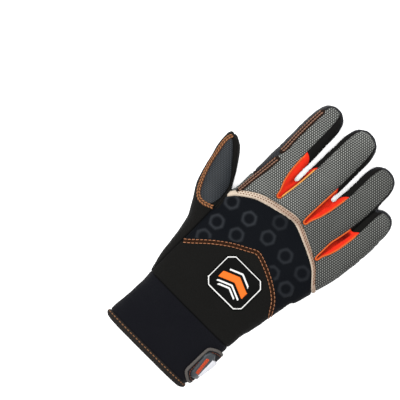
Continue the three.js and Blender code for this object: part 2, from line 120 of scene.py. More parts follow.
fingerSections = table("along width thick sway cover", [
    (-0.62, 1.04, 1.0, 0, 0),
    (0.0, 1.08, 1.1, 0, 0),
    (0.14, 1.03, 1.05, 0.32, 0.6),
    (0.28, 1.01, 1.0, 0.62, 0.9),
    (0.52, 1.0, 1.0, 0.95, 1),
    (0.78, 0.97, 0.97, 1, 1),
    (0.88, 0.89, 0.88, 1, 1),
    (0.95, 0.7, 0.68, 1, 1),
    (1.0, 0.29, 0.28, 1, 1),
])
thumb = {"rootX": -35.6, "rootY": 80, "reachX": -37, "length": 97.5, "width": 31.4, "thickness": 28,
         "rootZ": 19, "dropZ": 8.7}
thumbSections = table("along sway drop width thick", [
    (0, 0, 0, 0.75, 0.9),
    (0.21, 0.04, 0.1, 0.91, 0.97),
    (0.34, 0.2, 0.22, 0.97, 1.0),
    (0.46, 0.39, 0.34, 1.0, 1.0),
    (0.57, 0.52, 0.46, 0.94, 0.96),
    (0.7, 0.635, 0.58, 0.87, 0.91),
    (0.81, 0.76, 0.71, 0.76, 0.84),
    (0.91, 0.87, 0.85, 0.6, 0.72),
    (0.965, 0.945, 0.94, 0.45, 0.52),
    (1, 1, 1, 0.22, 0.24),
])
# Seam lines seen from above, in shares of the hand's width and length
hemLine = table("across along", [
    (-0.6, 0.74), (-0.43, 0.795), (-0.36, 0.845), (-0.19, 0.91), (0.0, 0.942), (0.115, 0.953),
    (0.29, 0.915), (0.47, 0.857), (0.6, 0.78), (0.8, 0.72),
])
backLine = table("across along", [
    (-0.6, 0.43), (-0.39, 0.515), (-0.24, 0.6), (-0.1, 0.665), (0.045, 0.714), (0.08, 0.727),
    (0.115, 0.722), (0.27, 0.683), (0.43, 0.617), (0.51, 0.545), (0.8, 0.4),
])
leatherLine = table("across along", [
    (-0.26, 0.2), (-0.27, 0.3), (-0.32, 0.38), (-0.345, 0.5), (-0.385, 0.62), (-0.45, 0.69),
    (-0.53, 0.76), (-0.585, 0.87), (-0.64, 0.96), (-0.69, 1.04), (-0.74, 1.1),
])
tapeWidths = table("across wide", [
    (-0.4, 5.8), (-0.1, 5.4), (0.25, 4.5), (0.5, 4.0),
])
thumbPatch = table("across along", [
    (-0.42, 0.735), (-0.52, 0.705), (-0.58, 0.735), (-0.665, 0.86), (-0.69, 0.95), (-0.715, 1.015),
    (-0.69, 1.038), (-0.588, 0.973), (-0.489, 0.902), (-0.428, 0.848),
])


def readTable(rows, place, column, key="along"):
    # a smooth curve through a table's rows, at one place or at many
    keys = np.array([row[key] for row in rows], float)
    values = np.array([row[column] for row in rows], float)
    steps = np.diff(values) / np.diff(keys)
    slopes = np.zeros(len(keys))
    before, after = steps[:-1], steps[1:]
    slopes[1:-1] = np.where(after * before > 0, 2 * after * before / (after + before + 1e-12), 0)
    slopes[0], slopes[-1] = steps[0], steps[-1]
    at = np.clip(np.asarray(place, float), keys[0], keys[-1])
    i = np.clip(np.searchsorted(keys, at, side="right") - 1, 0, len(keys) - 2)
    gap = keys[i + 1] - keys[i]
    t = (at - keys[i]) / gap
    rise = values[i + 1] - values[i]
    a = slopes[i] * gap - rise
    b = -slopes[i + 1] * gap + rise
    return values[i] + t * rise + t * (1 - t) * (a * (1 - t) + b * t)


def smoothStep(value):
    t = np.clip(value, 0, 1)
    return t * t * (3 - 2 * t)


def archZ(y):
    return readTable(fingerArch, y / hand["length"], "middle") * hand["thickness"]


def lineY(line, x):
    return readTable(line, x / hand["width"], "along", "across") * hand["length"]


def tapeWide(x):
    return readTable(tapeWidths, x / hand["width"], "wide", "across")


def fingerX(finger, y):
    # the middle of a finger at a place along the hand
    along = (y - finger["webY"]) / finger["length"]
    sway = readTable(fingerSections, along, "sway")
    root = np.clip(along / fingerSections[0]["along"], 0, 1)
    free = finger["baseX"] + sway * (finger["tipX"] - finger["baseX"])
    return np.where(along < 0, finger["baseX"] + root * (finger["rootX"] - finger["baseX"]), free)


def fingerHalf(finger, y):
    along = (y - finger["webY"]) / finger["length"]
    return readTable(fingerSections, along, "width") * finger["width"] / 2


def coverX(finger, y, side):
    # the edge of the knitted back: wide at the web, then at its own share of the finger's half width
    share = finger["coverLeft"] if side < 0 else finger["coverRight"]
    if share > 1:
        return fingerX(finger, y) + hand["width"]
    cover = readTable(fingerSections, (y - finger["webY"]) / finger["length"], "cover")
    atWeb = side * hand["coverAtWeb"]
    return fingerX(finger, y) + (atWeb + cover * (share - atWeb)) * fingerHalf(finger, y)


def onFinger(finger, x, y):
    return np.abs(x - fingerX(finger, y)) < fingerHalf(finger, y) + 1


def betweenFingers(a, b, x, y):
    return (x > fingerX(a, y)) & (x < fingerX(b, y))


def webLow(a, b):
    return min(a["webY"], b["webY"])


def gussetTop(a, b):
    return webLow(a, b) + hand["gussetReach"]


print("making the hand form")


form = {
    "palmRings": 42,
    "palmFacets": 64,
    "fingerFacets": 40,
    "alongFinger": [*np.linspace(-0.62, 0.8, 26), *np.linspace(0.82, 1.0, 9)],
    "alongThumb": [*np.linspace(0, 0.8, 24), *np.linspace(0.82, 1.0, 9)],
}


def makeTube(bm, stations, facets, squareness):
    # rings bridged one to the next, each a circle pressed to a round-cornered section
    def bulge(v):
        return math.copysign(abs(v) ** (2 / squareness), v)
    rings = []
    for number, s in enumerate(stations):
        capped = number in (0, len(stations) - 1)
        ring = bmesh.ops.create_circle(bm, cap_ends=capped, segments=facets, radius=1)["verts"]
        edges = dict.fromkeys(e for v in ring for e in v.link_edges)
        for v in ring:
            x, z = bulge(v.co.x) * s["halfWidth"], bulge(v.co.y) * s["halfThick"]
            v.co = (s["x"] + x, s["y"], s["z"] + z)
        rings.append(list(edges))
    for a, b in zip(rings, rings[1:]):
        bmesh.ops.bridge_loops(bm, edges=a + b)


def palmStations():
    # the hand's sections, from behind the cuff's end to beyond the webs
    stations = []
    for along in np.linspace(palmSections[0]["along"], palmSections[-1]["along"], form["palmRings"]):
        left = readTable(palmSections, along, "left") * hand["width"]
        right = readTable(palmSections, along, "right") * hand["width"]
        stations.append({
            "y": along * hand["length"],
            "x": (left + right) / 2,
            "z": readTable(palmSections, along, "middle") * hand["thickness"],
            "halfWidth": (right - left) / 2,
            "halfThick": readTable(palmSections, along, "thick") * hand["thickness"] / 2,
        })
    return stations


def fingerStations(finger):
    stations = []
    for along in form["alongFinger"]:
        y = finger["webY"] + along * finger["length"]
        stations.append({
            "y": y,
            "x": float(fingerX(finger, y)),
            "z": float(archZ(y)),
            "halfWidth": float(fingerHalf(finger, y)),
            "halfThick": float(readTable(fingerSections, along, "thick")) * finger["thickness"] / 2,
        })
    return stations


def thumbStations():
    stations = []
    for along in form["alongThumb"]:
        stations.append({
            "y": thumb["rootY"] + along * thumb["length"],
            "x": thumb["rootX"] + readTable(thumbSections, along, "sway") * thumb["reachX"],
            "z": thumb["rootZ"] - readTable(thumbSections, along, "drop") * thumb["dropZ"],
            "halfWidth": readTable(thumbSections, along, "width") * thumb["width"] / 2,
            "halfThick": readTable(thumbSections, along, "thick") * thumb["thickness"] / 2,
        })
    return stations


def newObject(name, bm):
    mesh = bpy.data.meshes.new(name)
    bm.to_mesh(mesh)
    bm.free()
    obj = bpy.data.objects.new(name, mesh)
    bpy.context.scene.collection.objects.link(obj)
    return obj


def settled(obj):
    # the object's mesh with its modifiers in it
    graph = bpy.context.evaluated_depsgraph_get()
    mesh = bpy.data.meshes.new_from_object(obj.evaluated_get(graph), depsgraph=graph)
    old = obj.data
    obj.modifiers.clear()
    obj.data = mesh
    bpy.data.meshes.remove(old)


def relax(bm):
    axes = {"use_axis_x": True, "use_axis_y": True, "use_axis_z": True}
    bmesh.ops.smooth_vert(bm, verts=bm.verts, factor=0.5, **axes)


def takeMesh(obj):
    # a bmesh of an object's mesh, which then goes
    bm = bmesh.new()
    bm.from_mesh(obj.data)
    bpy.data.objects.remove(obj)
    return bm


def makeSkin():
    # one closed skin over the palm, the fingers and the thumb, open at the cuff
    bm = bmesh.new()
    makeTube(bm, palmStations(), form["palmFacets"], hand["palmSquareness"])
    for stations in [*map(fingerStations, fingers), thumbStations()]:
        makeTube(bm, stations, form["fingerFacets"], hand["fingerSquareness"])
    bmesh.ops.recalc_face_normals(bm, faces=bm.faces)
    solid = newObject("handForm", bm)
    remesh = solid.modifiers.new("skin", "REMESH")
    remesh.mode = "VOXEL"
    remesh.voxel_size = hand["voxel"]
    settled(solid)
    bm = takeMesh(solid)
    for _ in range(hand["smoothing"]):
        relax(bm)
    ends = bm.verts[:] + bm.edges[:] + bm.faces[:]
    bmesh.ops.bisect_plane(bm, geom=ends, plane_co=(0, 0, 0), plane_no=(0, -1, 0), clear_outer=True)
    return bm


skin = makeSkin()
skin.verts.layers.float_vector.new("home")
skin.verts.layers.float_vector.new("out")
skin.verts.layers.float.new("seam")
skin.faces.layers.int.new("panel")


def places(items):
    return np.array([item[:] for item in items]).T


def crease(height, width, at, value):
    return height * np.exp(-(((value - at) / width) ** 2))


def cuffMiddle(y):
    share = y / hand["length"]
    left = float(readTable(palmSections, share, "left"))
    right = float(readTable(palmSections, share, "right"))
    middle = float(readTable(palmSections, share, "middle"))
    return (left + right) / 2 * hand["width"], middle * hand["thickness"]


folds = {
    "joints": ((0.34, 0.5), (0.66, 0.42)),  # shares of a finger's free length, and the depths there
    "beside": (-3.4, 0, 3.2),  # three folds at each joint, the outer ones shallower
    "shallower": 0.12,
    "width": 0.9,
    "wave": 0.8,
    "waveTurn": 0.5,
    "aboveCuff": 6,  # the wrist's folds are deepest here, and fade over wristFade
    "wristFade": 20,
    "endPower": 20,
    "endLength": 12,
    "uneven": ((0.045, 0.55), (0.13, 0.28)),  # pitch and depth of the unevenness
    "wrist": (0.035, 0.14, 0.03, 0.05),
}


def wrinkle(bm):
    # soft unevenness all over, and folds where the fingers and the thumb bend
    bm.normal_update()
    x, y, z = places([v.co for v in bm.verts])
    fold = np.zeros(len(x))
    for finger in fingers:
        near = onFinger(finger, x, y) & (y > finger["webY"] - 4)
        for share, depth in folds["joints"]:
            at = finger["webY"] + share * finger["length"]
            for beside in folds["beside"]:
                wave = folds["wave"] * np.sin((x - finger["baseX"]) * folds["waveTurn"] + beside)
                deep = depth * (1 - abs(beside) * folds["shallower"])
                fold += np.where(near, crease(deep, folds["width"], at + beside + wave, y), 0)
    centre, _ = cuffMiddle(0)
    side = np.clip(np.abs(x - centre) / (hand["width"] * hand["cuffHalf"]), 0, 1) ** folds["endPower"]
    end = hand["cuffRound"] * side * np.clip(1 - y / folds["endLength"], 0, 1)
    fromWrist = (y - hand["cuffLength"] - folds["aboveCuff"]) / folds["wristFade"]
    wrist = hand["wristFold"] * np.exp(-(fromWrist ** 2))
    u, w, lean, up = folds["wrist"]
    for v, deep, along, folded in zip(bm.verts, fold, end, wrist):
        soft = sum(noise.noise(v.co * pitch) * depth for pitch, depth in folds["uneven"])
        soft += noise.noise((v.co.x * u, v.co.y * w + v.co.x * lean, v.co.z * up)) * folded
        v.co += v.normal * (soft - deep)
        v.co.y += along


wrinkle(skin)
print("hand form has", len(skin.verts), "points")

print("marking the seams")


def scoreLine(bm, value, only=None):
    # cuts the skin where value is zero: its height stands in for z while a flat plane cuts it
    home = bm.verts.layers.float_vector["home"]
    x, y, z = places([v.co for v in bm.verts])
    heights = value(x, y, z)
    inside = np.ones(len(x), bool) if only is None else only(x, y, z)
    bm.verts.index_update()
    faces = [f for f in bm.faces if any(inside[v.index] for v in f.verts)]
    verts = dict.fromkeys(v for f in faces for v in f.verts)
    edges = dict.fromkeys(e for f in faces for e in f.edges)
    for v, height in zip(bm.verts, heights):
        v[home] = v.co
        v.co.z = height
    bmesh.ops.bisect_plane(bm, geom=faces + list(edges) + list(verts), dist=reach["snap"],
                           plane_co=(0, 0, 0), plane_no=(0, 0, 1))
    for v in bm.verts:
        v.co = v[home]


def cutCorners(points, nextPoints):
    # two points on each side of an outline, a quarter in from its ends
    cut = [0.75 * points + 0.25 * nextPoints, 0.25 * points + 0.75 * nextPoints]
    return np.stack(cut, 1).reshape(-1, 2)


def outlineDistance(outline, x, y, length=hand["length"], rounds=3, corner=None):
    # how far inside a closed outline a place is, in millimetres, with its corners rounded
    # with a corner's reach given, the sides stay straight up to there
    points = np.array([[row["across"] * hand["width"], row["along"] * length] for row in outline])
    if corner:
        tight = []
        for before, point, after in zip(np.roll(points, 1, axis=0), points, np.roll(points, -1, axis=0)):
            for side in (before - point, point - point, after - point):
                tight.append(point + side * min(0.45, corner / (np.hypot(*side) + 1e-9)))
        points = np.array(tight)
    for _ in range(rounds):
        nextPoints = np.roll(points, -1, axis=0)
        points = cutCorners(points, nextPoints)
    inside = np.zeros(len(x), bool)
    nearest = np.full(len(x), 1e9)
    for a, b in zip(points, np.roll(points, -1, axis=0)):
        along = b - a
        t = np.clip(((x - a[0]) * along[0] + (y - a[1]) * along[1]) / (along @ along), 0, 1)
        nearest = np.minimum(nearest, np.hypot(x - a[0] - t * along[0], y - a[1] - t * along[1]))
        crosses = (a[1] > y) != (b[1] > y)
        inside ^= crosses & (x < along[0] * (y - a[1]) / (along[1] + 1e-12) + a[0])
    return np.where(inside, nearest, -nearest)


index, middle, ring, little = fingers
gussetPairs = [(index, middle), (middle, ring), (ring, little)]


def leatherX(y):
    return readTable(leatherLine, y / hand["length"], "across") * hand["width"]


def leatherTop(x, y):
    # the leather ends below the middle of a finger's side, and curls up round its tip
    rise = np.zeros(np.shape(x))
    for finger in fingers:
        along = (y - finger["webY"]) / finger["length"]
        curl = np.clip((along - hand["curlFrom"]) / hand["curlLength"], 0, 1)
        rise = np.where(onFinger(finger, x, y), curl, rise)
    drop = np.zeros(np.shape(x))
    for a, b in gussetPairs:
        along = (y - webLow(a, b) + hand["palmWeb"]) / (hand["palmWeb"] + hand["palmReach"])
        shape = np.sqrt(np.clip(1 - (2 * along - 1) ** 4, 0, 1))
        drop = np.where(betweenFingers(a, b, x, y), shape, drop)
    return archZ(y) - hand["coverEdge"] + smoothStep(rise) * hand["tipCurl"] - drop * hand["palmDrop"]


# Where each seam is cut, so that its line doesn't run on over the rest of the glove
reach = {
    "leather": 45,
    "thumb": (40, 150),
    "thumbUnder": -20,
    "hem": (110, 175),
    "hemLeft": -60,
    "back": (60, 135),
    "patch": 100,
    "cover": 6,
    "web": (20, 60),  # below and above the web
    "snap": 0.04,
}


def within(y, ends):
    return (y > ends[0]) & (y < ends[1])


def onTop(x, y, z):
    return z > archZ(y) - hand["backDepth"]


def below(x, y, z):
    return z < archZ(y) + hand["bellyRise"]


def onPatch(x, y, z):
    return (x < hand["thumbSeam"] + hand["patchLap"]) & (y > reach["patch"]) & onTop(x, y, z)


def nearHem(x, y, z):
    return (x > reach["hemLeft"]) & within(y, reach["hem"])


def webBottom(x, a, b):
    # the lower end of the gusset between two fingers is round
    low = webLow(a, b)
    left, right = coverX(a, low, 1), coverX(b, low, -1)
    half = (right - left) / 2
    inside = np.clip(1 - ((x - (left + right) / 2) / half) ** 2, 0, 1)
    return low - hand["fieldDepth"] + half * (1 - np.sqrt(inside))


def gussetEdge(a, b):
    # the top of a gusset runs down from the knit to the leather
    top = gussetTop(a, b)
    return lambda x, y, z: y - top + (archZ(y) + hand["gussetRise"] - z) * hand["gussetLean"]


scoreLine(skin, lambda x, y, z: y - hand["cuffLength"])
scoreLine(skin, lambda x, y, z: y - hand["bindingWidth"])
scoreLine(skin, lambda x, y, z: z - leatherTop(x, y), lambda x, y, z: y > reach["leather"])
scoreLine(skin, lambda x, y, z: x - leatherX(y), below)
scoreLine(skin, lambda x, y, z: x - hand["thumbSeam"],
          lambda x, y, z: within(y, reach["thumb"]) & onTop(x, y, z))
scoreLine(skin, lambda x, y, z: y - lineY(hemLine, x), nearHem)
scoreLine(skin, lambda x, y, z: y - lineY(hemLine, x) - tapeWide(x),
          lambda x, y, z: nearHem(x, y, z) & onTop(x, y, z))
scoreLine(skin, lambda x, y, z: y - lineY(backLine, x), lambda x, y, z: within(y, reach["back"]))
scoreLine(skin, lambda x, y, z: outlineDistance(thumbPatch, x, y), onPatch)
for finger in fingers:
    for side in (-1, 1):
        def nearEdge(x, y, z):
            close = np.abs(x - coverX(finger, y, side)) < reach["cover"]
            return close & (y > finger["webY"] - hand["webDepth"]) & (z > archZ(y) - reach["cover"])
        scoreLine(skin, lambda x, y, z: x - coverX(finger, y, side), nearEdge)
for a, b in gussetPairs:
    def nearWeb(x, y, z):
        ends = (webLow(a, b) - reach["web"][0], webLow(a, b) + reach["web"][1])
        return betweenFingers(a, b, x, y) & within(y, ends)
    scoreLine(skin, gussetEdge(a, b), nearWeb)
    scoreLine(skin, lambda x, y, z: y - webBottom(x, a, b),
              lambda x, y, z: nearWeb(x, y, z) & (z > archZ(y)))

# rise lifts a panel's face, and groove and roll shape the pulled-in seam round it
panelBook = {row["name"]: row for row in table("name node finish slot rise groove roll", [
    ("cuffBinding", "cuff_binding", "binding", "tape", 0.9, 0.1, 1.0),
    ("cuff", "cuff", "cuff", "neoprene", 0.0, 1.0, 1.6),
    ("palmLeather", "palm_leather", "palmLeather", "leather", 0.0, 0.8, 1.3),
    ("knitBack", "knit_back", "knit", "knit", 0.1, 0.6, 1.1),
    ("knitTape", "knit_tape", "tape", "tape", 0.6, 0.5, 0.8),
    ("indexMiddleGusset", "index_middle_gusset", "gusset", "gusset", -0.5, 0.5, 1.2),
    ("middleRingGusset", "middle_ring_gusset", "gusset", "gusset", -0.5, 0.5, 1.2),
    ("ringLittleGusset", "ring_little_gusset", "gusset", "gusset", -0.5, 0.5, 1.2),
    ("indexSidewall", "index_sidewall", "stretch", "stretch", -0.2, 0.7, 1.2),
    ("middleSidewall", "middle_sidewall", "stretch", "stretch", -0.2, 0.7, 1.2),
    ("ringSidewall", "ring_sidewall", "stretch", "stretch", -0.2, 0.7, 1.2),
    ("littleSidewall", "little_sidewall", "stretch", "stretch", -0.2, 0.7, 1.2),
    ("knucklePanel", "knuckle_panel", "neoprene", "neoprene", 0.5, 0.9, 2.2),
    ("handBack", "hand_back_panel", "stretch", "stretch", 0.0, 0.7, 1.4),
    ("thumbPatch", "thumb_patch", "leather", "leather", 0.5, 0.3, 0.8),
    ("thumbPanel", "thumb_panel", "stretch", "stretch", 0.0, 0.7, 1.2),
])}
panelNames = list(panelBook)


def sortPanels(x, y, z):
    # the panel that each place of the skin belongs to, as a number in the list of names
    middles = np.stack([np.abs(x - fingerX(finger, y)) / fingerHalf(finger, y) for finger in fingers])
    closest = middles.argmin(axis=0)
    overHem = (y > lineY(hemLine, x)) & (x > hand["thumbSeam"])
    low = z < leatherTop(x, y)
    leather = low & (x > leatherX(y)) & (y > hand["cuffLength"])
    leather |= (y > index["webY"]) & (x > hand["thumbSeam"]) & (x < coverX(index, y, -1))
    knit = np.zeros(len(x), bool)
    for i, finger in enumerate(fingers):
        left, right = coverX(finger, y, -1), coverX(finger, y, 1)
        knit |= (y > finger["webY"] - hand["webDepth"]) & (x > left) & (x < right) & (closest == i)
    for a, b in gussetPairs:
        knit |= betweenFingers(a, b, x, y) & (y < webBottom(x, a, b))
    webEnd = np.where(x > (ring["baseX"] + little["baseX"]) / 2, little["webY"], ring["webY"])
    knit |= y < webEnd - hand["fieldDepth"]
    knit &= overHem
    found = np.full(len(x), -1)

    def claim(name, where):
        found[(found < 0) & where] = panelNames.index(name)
    claim("cuffBinding", y < hand["bindingWidth"])
    claim("cuff", y < hand["cuffLength"])
    claim("palmLeather", leather)
    claim("knitTape", knit & (y < lineY(hemLine, x) + tapeWide(x)))
    claim("knitBack", knit)
    onThumb = (x < hand["thumbSeam"] + 0.01) & onTop(x, y, z)
    claim("thumbPatch", onThumb & (outlineDistance(thumbPatch, x, y) > 0))
    underThumb = low & (x < reach["thumbUnder"]) & (y < hand["length"])
    claim("thumbPanel", (x < hand["thumbSeam"]) | underThumb)
    for a, b in gussetPairs:
        name = a["name"] + b["name"].capitalize() + "Gusset"
        claim(name, overHem & betweenFingers(a, b, x, y) & (gussetEdge(a, b)(x, y, z) < 0))
    for i, finger in enumerate(fingers):
        claim(finger["name"] + "Sidewall", overHem & (closest == i))
    claim("knucklePanel", y > lineY(backLine, x))
    claim("handBack", found < 0)
    return found


def labelPanels(bm):
    layer = bm.faces.layers.int["panel"]
    centres = places([f.calc_center_median() for f in bm.faces])
    for f, number in zip(bm.faces, sortPanels(*centres)):
        f[layer] = int(number)
    # a few stray faces beside a seam go to the panel that surrounds them
    for _ in range(3):
        for f in bm.faces:
            around = [g[layer] for e in f.edges for g in e.link_faces if g is not f]
            if around and f[layer] not in around:
                f[layer] = max(set(around), key=around.count)


def measureSeams(bm):
    # each point's distance from the nearest seam, and its way out of the cloth
    bm.normal_update()
    panel = bm.faces.layers.int["panel"]
    out = bm.verts.layers.float_vector["out"]
    seam = bm.verts.layers.float["seam"]
    onSeam = [v for v in bm.verts if len({f[panel] for f in v.link_faces}) > 1]
    tree = KDTree(len(onSeam))
    for i, v in enumerate(onSeam):
        tree.insert(v.co, i)
    tree.balance()
    for v in bm.verts:
        v[out] = v.normal
        v[seam] = tree.find(v.co)[2]


labelPanels(skin)
measureSeams(skin)
skin.verts.index_update()
skinTree = BVHTree.FromBMesh(skin)
print("skin is cut into", len(panelNames), "panels and has", len(skin.faces), "faces")

# Where the sewing's layout lies in the frame, from three of the frame's own boxes
layoutOrigin = Vector((
    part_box("hand_back_panel")[0][0] - (hand["thumbSeam"] * mm + seamShare),
    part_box("cuff_binding")[0][1],
    layoutFloor * mm,
))
toFrame = Matrix.Translation(layoutOrigin) @ Matrix.Scale(mm, 4)


def addPiece(name, bm, finish, nodes=(), wall=0):
    # puts a finished shape in the frame as a piece of the glove; a sheet gets its wall's thickness inwards
    bmesh.ops.transform(bm, matrix=toFrame, verts=bm.verts)
    for f in bm.faces:
        f.smooth = True
    obj = newObject(name, bm)
    if wall:
        thicken = obj.modifiers.new("wall", "SOLIDIFY")
        thicken.thickness = wall * mm
        thicken.offset = -1
    obj.data.materials.append(finishes[finish])
    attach(obj, "root")
    if nodes:
        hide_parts(*nodes)
    return obj


print("mixing the materials")


def newMaterial(name):
    material = bpy.data.materials.new(name)
    material.use_nodes = True
    tree = material.node_tree
    return material, tree, tree.nodes["Principled BSDF"]


def node(tree, kind, inputs=None, **settings):
    made = tree.nodes.new(kind)
    for key, value in settings.items():
        setattr(made, key, value)
    for key, value in (inputs or {}).items():
        if isinstance(value, bpy.types.NodeSocket):
            tree.links.new(value, made.inputs[key])
        else:
            made.inputs[key].default_value = value
    return made


def math2(tree, operation, a, b=0.0, c=0.0, clamp=False):
    inputs = {0: a, 1: b, 2: c}
    return node(tree, "ShaderNodeMath", inputs, operation=operation, use_clamp=clamp).outputs[0]


surface = {
    "rowShare": 0.74,  # how far apart the rows of dots are, in shares of the pitch
    "dotEdge": 0.35,  # where a dot starts to fall off to its edge
    "tones": (0.1, 0.9),  # the dark and the light tone's places in the ramp
    "slow": (0.3, 0.7),
    "fuzzRelief": 0.25,
    "relief": 0.8,
    # on the rings the pale tops are a painted highlight, on the pads the pale band is rubbed
    "rubbed": -0.2,  # what is rubbed pale is this much smoother
}


def spreadOver(tree, value, before, after, **settings):
    # a value's range stretched to another one
    ends = {"From Min": before[0], "From Max": before[1], "To Min": after[0], "To Max": after[1]}
    return node(tree, "ShaderNodeMapRange", {"Value": value, **ends}, **settings).outputs[0]


def newGroup(name, inputs, outputs):
    group = bpy.data.node_groups.new(name, "ShaderNodeTree")
    for label, value in inputs.items():
        kind = "NodeSocketVector" if value is None else "NodeSocketFloat"
        socket = group.interface.new_socket(label, in_out="INPUT", socket_type=kind)
        if value is not None:
            socket.default_value = value
    for label in outputs:
        group.interface.new_socket(label, in_out="OUTPUT", socket_type="NodeSocketFloat")
    return group, group.nodes.new("NodeGroupInput").outputs, group.nodes.new("NodeGroupOutput").inputs


def placeGroup(tree, group, **values):
    made = tree.nodes.new("ShaderNodeGroup")
    made.node_tree = group
    for key, value in values.items():
        made.inputs[key].default_value = value
    return made


def makeDotGroup():
    # staggered raised dots on a flat plane, a pattern of a knit or an embossed leather
    group, given, result = newGroup("staggeredDots", {"Place": None, "Pitch": 0.002, "Size": 0.5}, ["Dot"])

    def calc(*values):
        return math2(group, *values)
    split = node(group, "ShaderNodeSeparateXYZ", {0: given["Place"]}).outputs
    u = calc("DIVIDE", split[0], given["Pitch"])
    v = calc("DIVIDE", split[1], calc("MULTIPLY", given["Pitch"], surface["rowShare"]))
    odd = calc("MULTIPLY", calc("FLOORED_MODULO", calc("FLOOR", v), 2.0), 0.5)
    u = calc("SUBTRACT", calc("FRACT", calc("ADD", u, odd)), 0.5)
    v = calc("SUBTRACT", calc("FRACT", v), 0.5)
    away = calc("SQRT", calc("ADD", calc("MULTIPLY", u, u), calc("MULTIPLY", v, v)))
    away = calc("DIVIDE", away, given["Size"])
    dot = spreadOver(group, away, (1.0, surface["dotEdge"]), (0.0, 1.0), interpolation_type="SMOOTHSTEP")
    group.links.new(dot, result["Dot"])
    return group


def makeWrapGroup(dots):
    # the dots seen square on from above, from the side and from the end, blended by the surface's slope
    group, given, result = newGroup("wrappedDots", {"Pitch": 0.002, "Size": 0.5, "Turn": 0.785}, ["Dot"])
    place = node(group, "ShaderNodeTexCoord").outputs["Object"]
    normal = node(group, "ShaderNodeNewGeometry").outputs["Normal"]
    slope = node(group, "ShaderNodeSeparateXYZ", {0: normal}).outputs
    total = 0.0
    summed = 0.0
    for axis, first, second in ((2, 0, 1), (0, 1, 2), (1, 0, 2)):
        steep = math2(group, "POWER", math2(group, "ABSOLUTE", slope[axis]), 4.0)
        parts = node(group, "ShaderNodeSeparateXYZ", {0: place}).outputs
        flat = node(group, "ShaderNodeCombineXYZ", {0: parts[first], 1: parts[second]})
        turn = {"Vector": flat.outputs[0], "Axis": (0, 0, 1), "Angle": given["Turn"]}
        turned = node(group, "ShaderNodeVectorRotate", turn, rotation_type="AXIS_ANGLE")
        pattern = placeGroup(group, dots)
        group.links.new(turned.outputs[0], pattern.inputs["Place"])
        for label in ("Pitch", "Size"):
            group.links.new(given[label], pattern.inputs[label])
        total = math2(group, "ADD", total, steep)
        summed = math2(group, "MULTIPLY_ADD", pattern.outputs[0], steep, summed)
    group.links.new(math2(group, "DIVIDE", summed, total), result["Dot"])
    return group


def makeWearGroup():
    # slow patches and fine fuzz, to break up a plain colour
    scales = {"Patch Scale": 40.0, "Fuzz Scale": 2500.0}
    group, given, result = newGroup("clothWear", scales, ["Patch", "Fuzz"])
    place = node(group, "ShaderNodeTexCoord").outputs["Object"]
    for label, detail in (("Patch", 4.0), ("Fuzz", 2.0)):
        inputs = {"Vector": place, "Scale": given[label + " Scale"], "Detail": detail}
        cloud = node(group, "ShaderNodeTexNoise", inputs)
        group.links.new(cloud.outputs[0], result[label])
    return group


wrapGroup = makeWrapGroup(makeDotGroup())
wearGroup = makeWearGroup()


def twoTones(tree, factor, dark, light):
    ramp = node(tree, "ShaderNodeValToRGB", {"Fac": factor})
    for end, position, colour in zip(ramp.color_ramp.elements, surface["tones"], (dark, light)):
        end.position = position
        end.color = (*colour, 1)
    return ramp.outputs[0]


def tinted(tree, colour, name, tint):
    # a colour blended to another one by a value painted on the mesh
    amount = node(tree, "ShaderNodeAttribute", attribute_name=name).outputs["Fac"]
    mixed = node(tree, "ShaderNodeMix", {0: amount, 6: colour, 7: (*tint, 1)}, data_type="RGBA")
    return mixed.outputs[2], amount


def clothMaterial(name, dark, light, pitch, size, depth, rough=(0.8, 0.95), sheen=0.01, gloss=0.06,
                  patch=0.35, raised=None, rim=None, shade=None):
    # dotted or fine-woven cloth and leather: dark base, lighter dots, slow patches and fuzz
    material, tree, shader = newMaterial(name)
    dots = placeGroup(tree, wrapGroup, Pitch=pitch, Size=size)
    wear = placeGroup(tree, wearGroup)
    tone = dots.outputs["Dot"]
    for label in ("Patch", "Fuzz"):
        centred = math2(tree, "SUBTRACT", wear.outputs[label], 0.5)
        tone = math2(tree, "MULTIPLY_ADD", centred, patch, tone, clamp=label == "Fuzz")
    colour = twoTones(tree, tone, dark, light)
    rougher = spreadOver(tree, wear.outputs["Patch"], surface["slow"], rough)
    if raised:
        # the moulded rings' tops get a painted highlight, paler and smoother; the pads' rubbed band uses
        # the same mask
        colour, top = tinted(tree, colour, "raised", raised)
        rougher = math2(tree, "MULTIPLY_ADD", top, surface["rubbed"], rougher)
    # the rim colour near the seams and on the tucked lips: on the dark cloths and leathers it is partly
    # their dark seam edge and partly painted shade in the seam; the gussets' orange and the tape's pale
    # edge are their own colour
    if rim:
        colour = tinted(tree, colour, "rim", rim)[0]
    if shade:
        colour = tinted(tree, colour, "shade", shade)[0]
    tree.links.new(colour, shader.inputs["Base Color"])
    tree.links.new(rougher, shader.inputs["Roughness"])
    height = math2(tree, "MULTIPLY_ADD", wear.outputs["Fuzz"], surface["fuzzRelief"], dots.outputs["Dot"])
    relief = {"Height": height, "Strength": surface["relief"], "Distance": depth}
    bump = node(tree, "ShaderNodeBump", relief)
    tree.links.new(bump.outputs[0], shader.inputs["Normal"])
    shader.inputs["Specular IOR Level"].default_value = gloss
    shader.inputs["Sheen Weight"].default_value = sheen
    shader.inputs["Sheen Roughness"].default_value = 0.5
    return material


# Each weave's pitch, the size of its dots and the depth of its relief
tapeWeave = (0.0009, 0.5, 0.00015)
threadWeave = (0.0005, 0.5, 0.0001)
pipingWeave = (0.0007, 0.5, 0.0001)
strapWeave = (0.0009, 0.5, 0.0002)
foamWeave = (0.0008, 0.5, 0.0001)
filmWeave = (0.001, 0.5, 0.00003)
leatherGrain = (0.0017, 0.42, 0.0002)
leatherLook = {"rough": (0.5, 0.65), "sheen": 0.0}

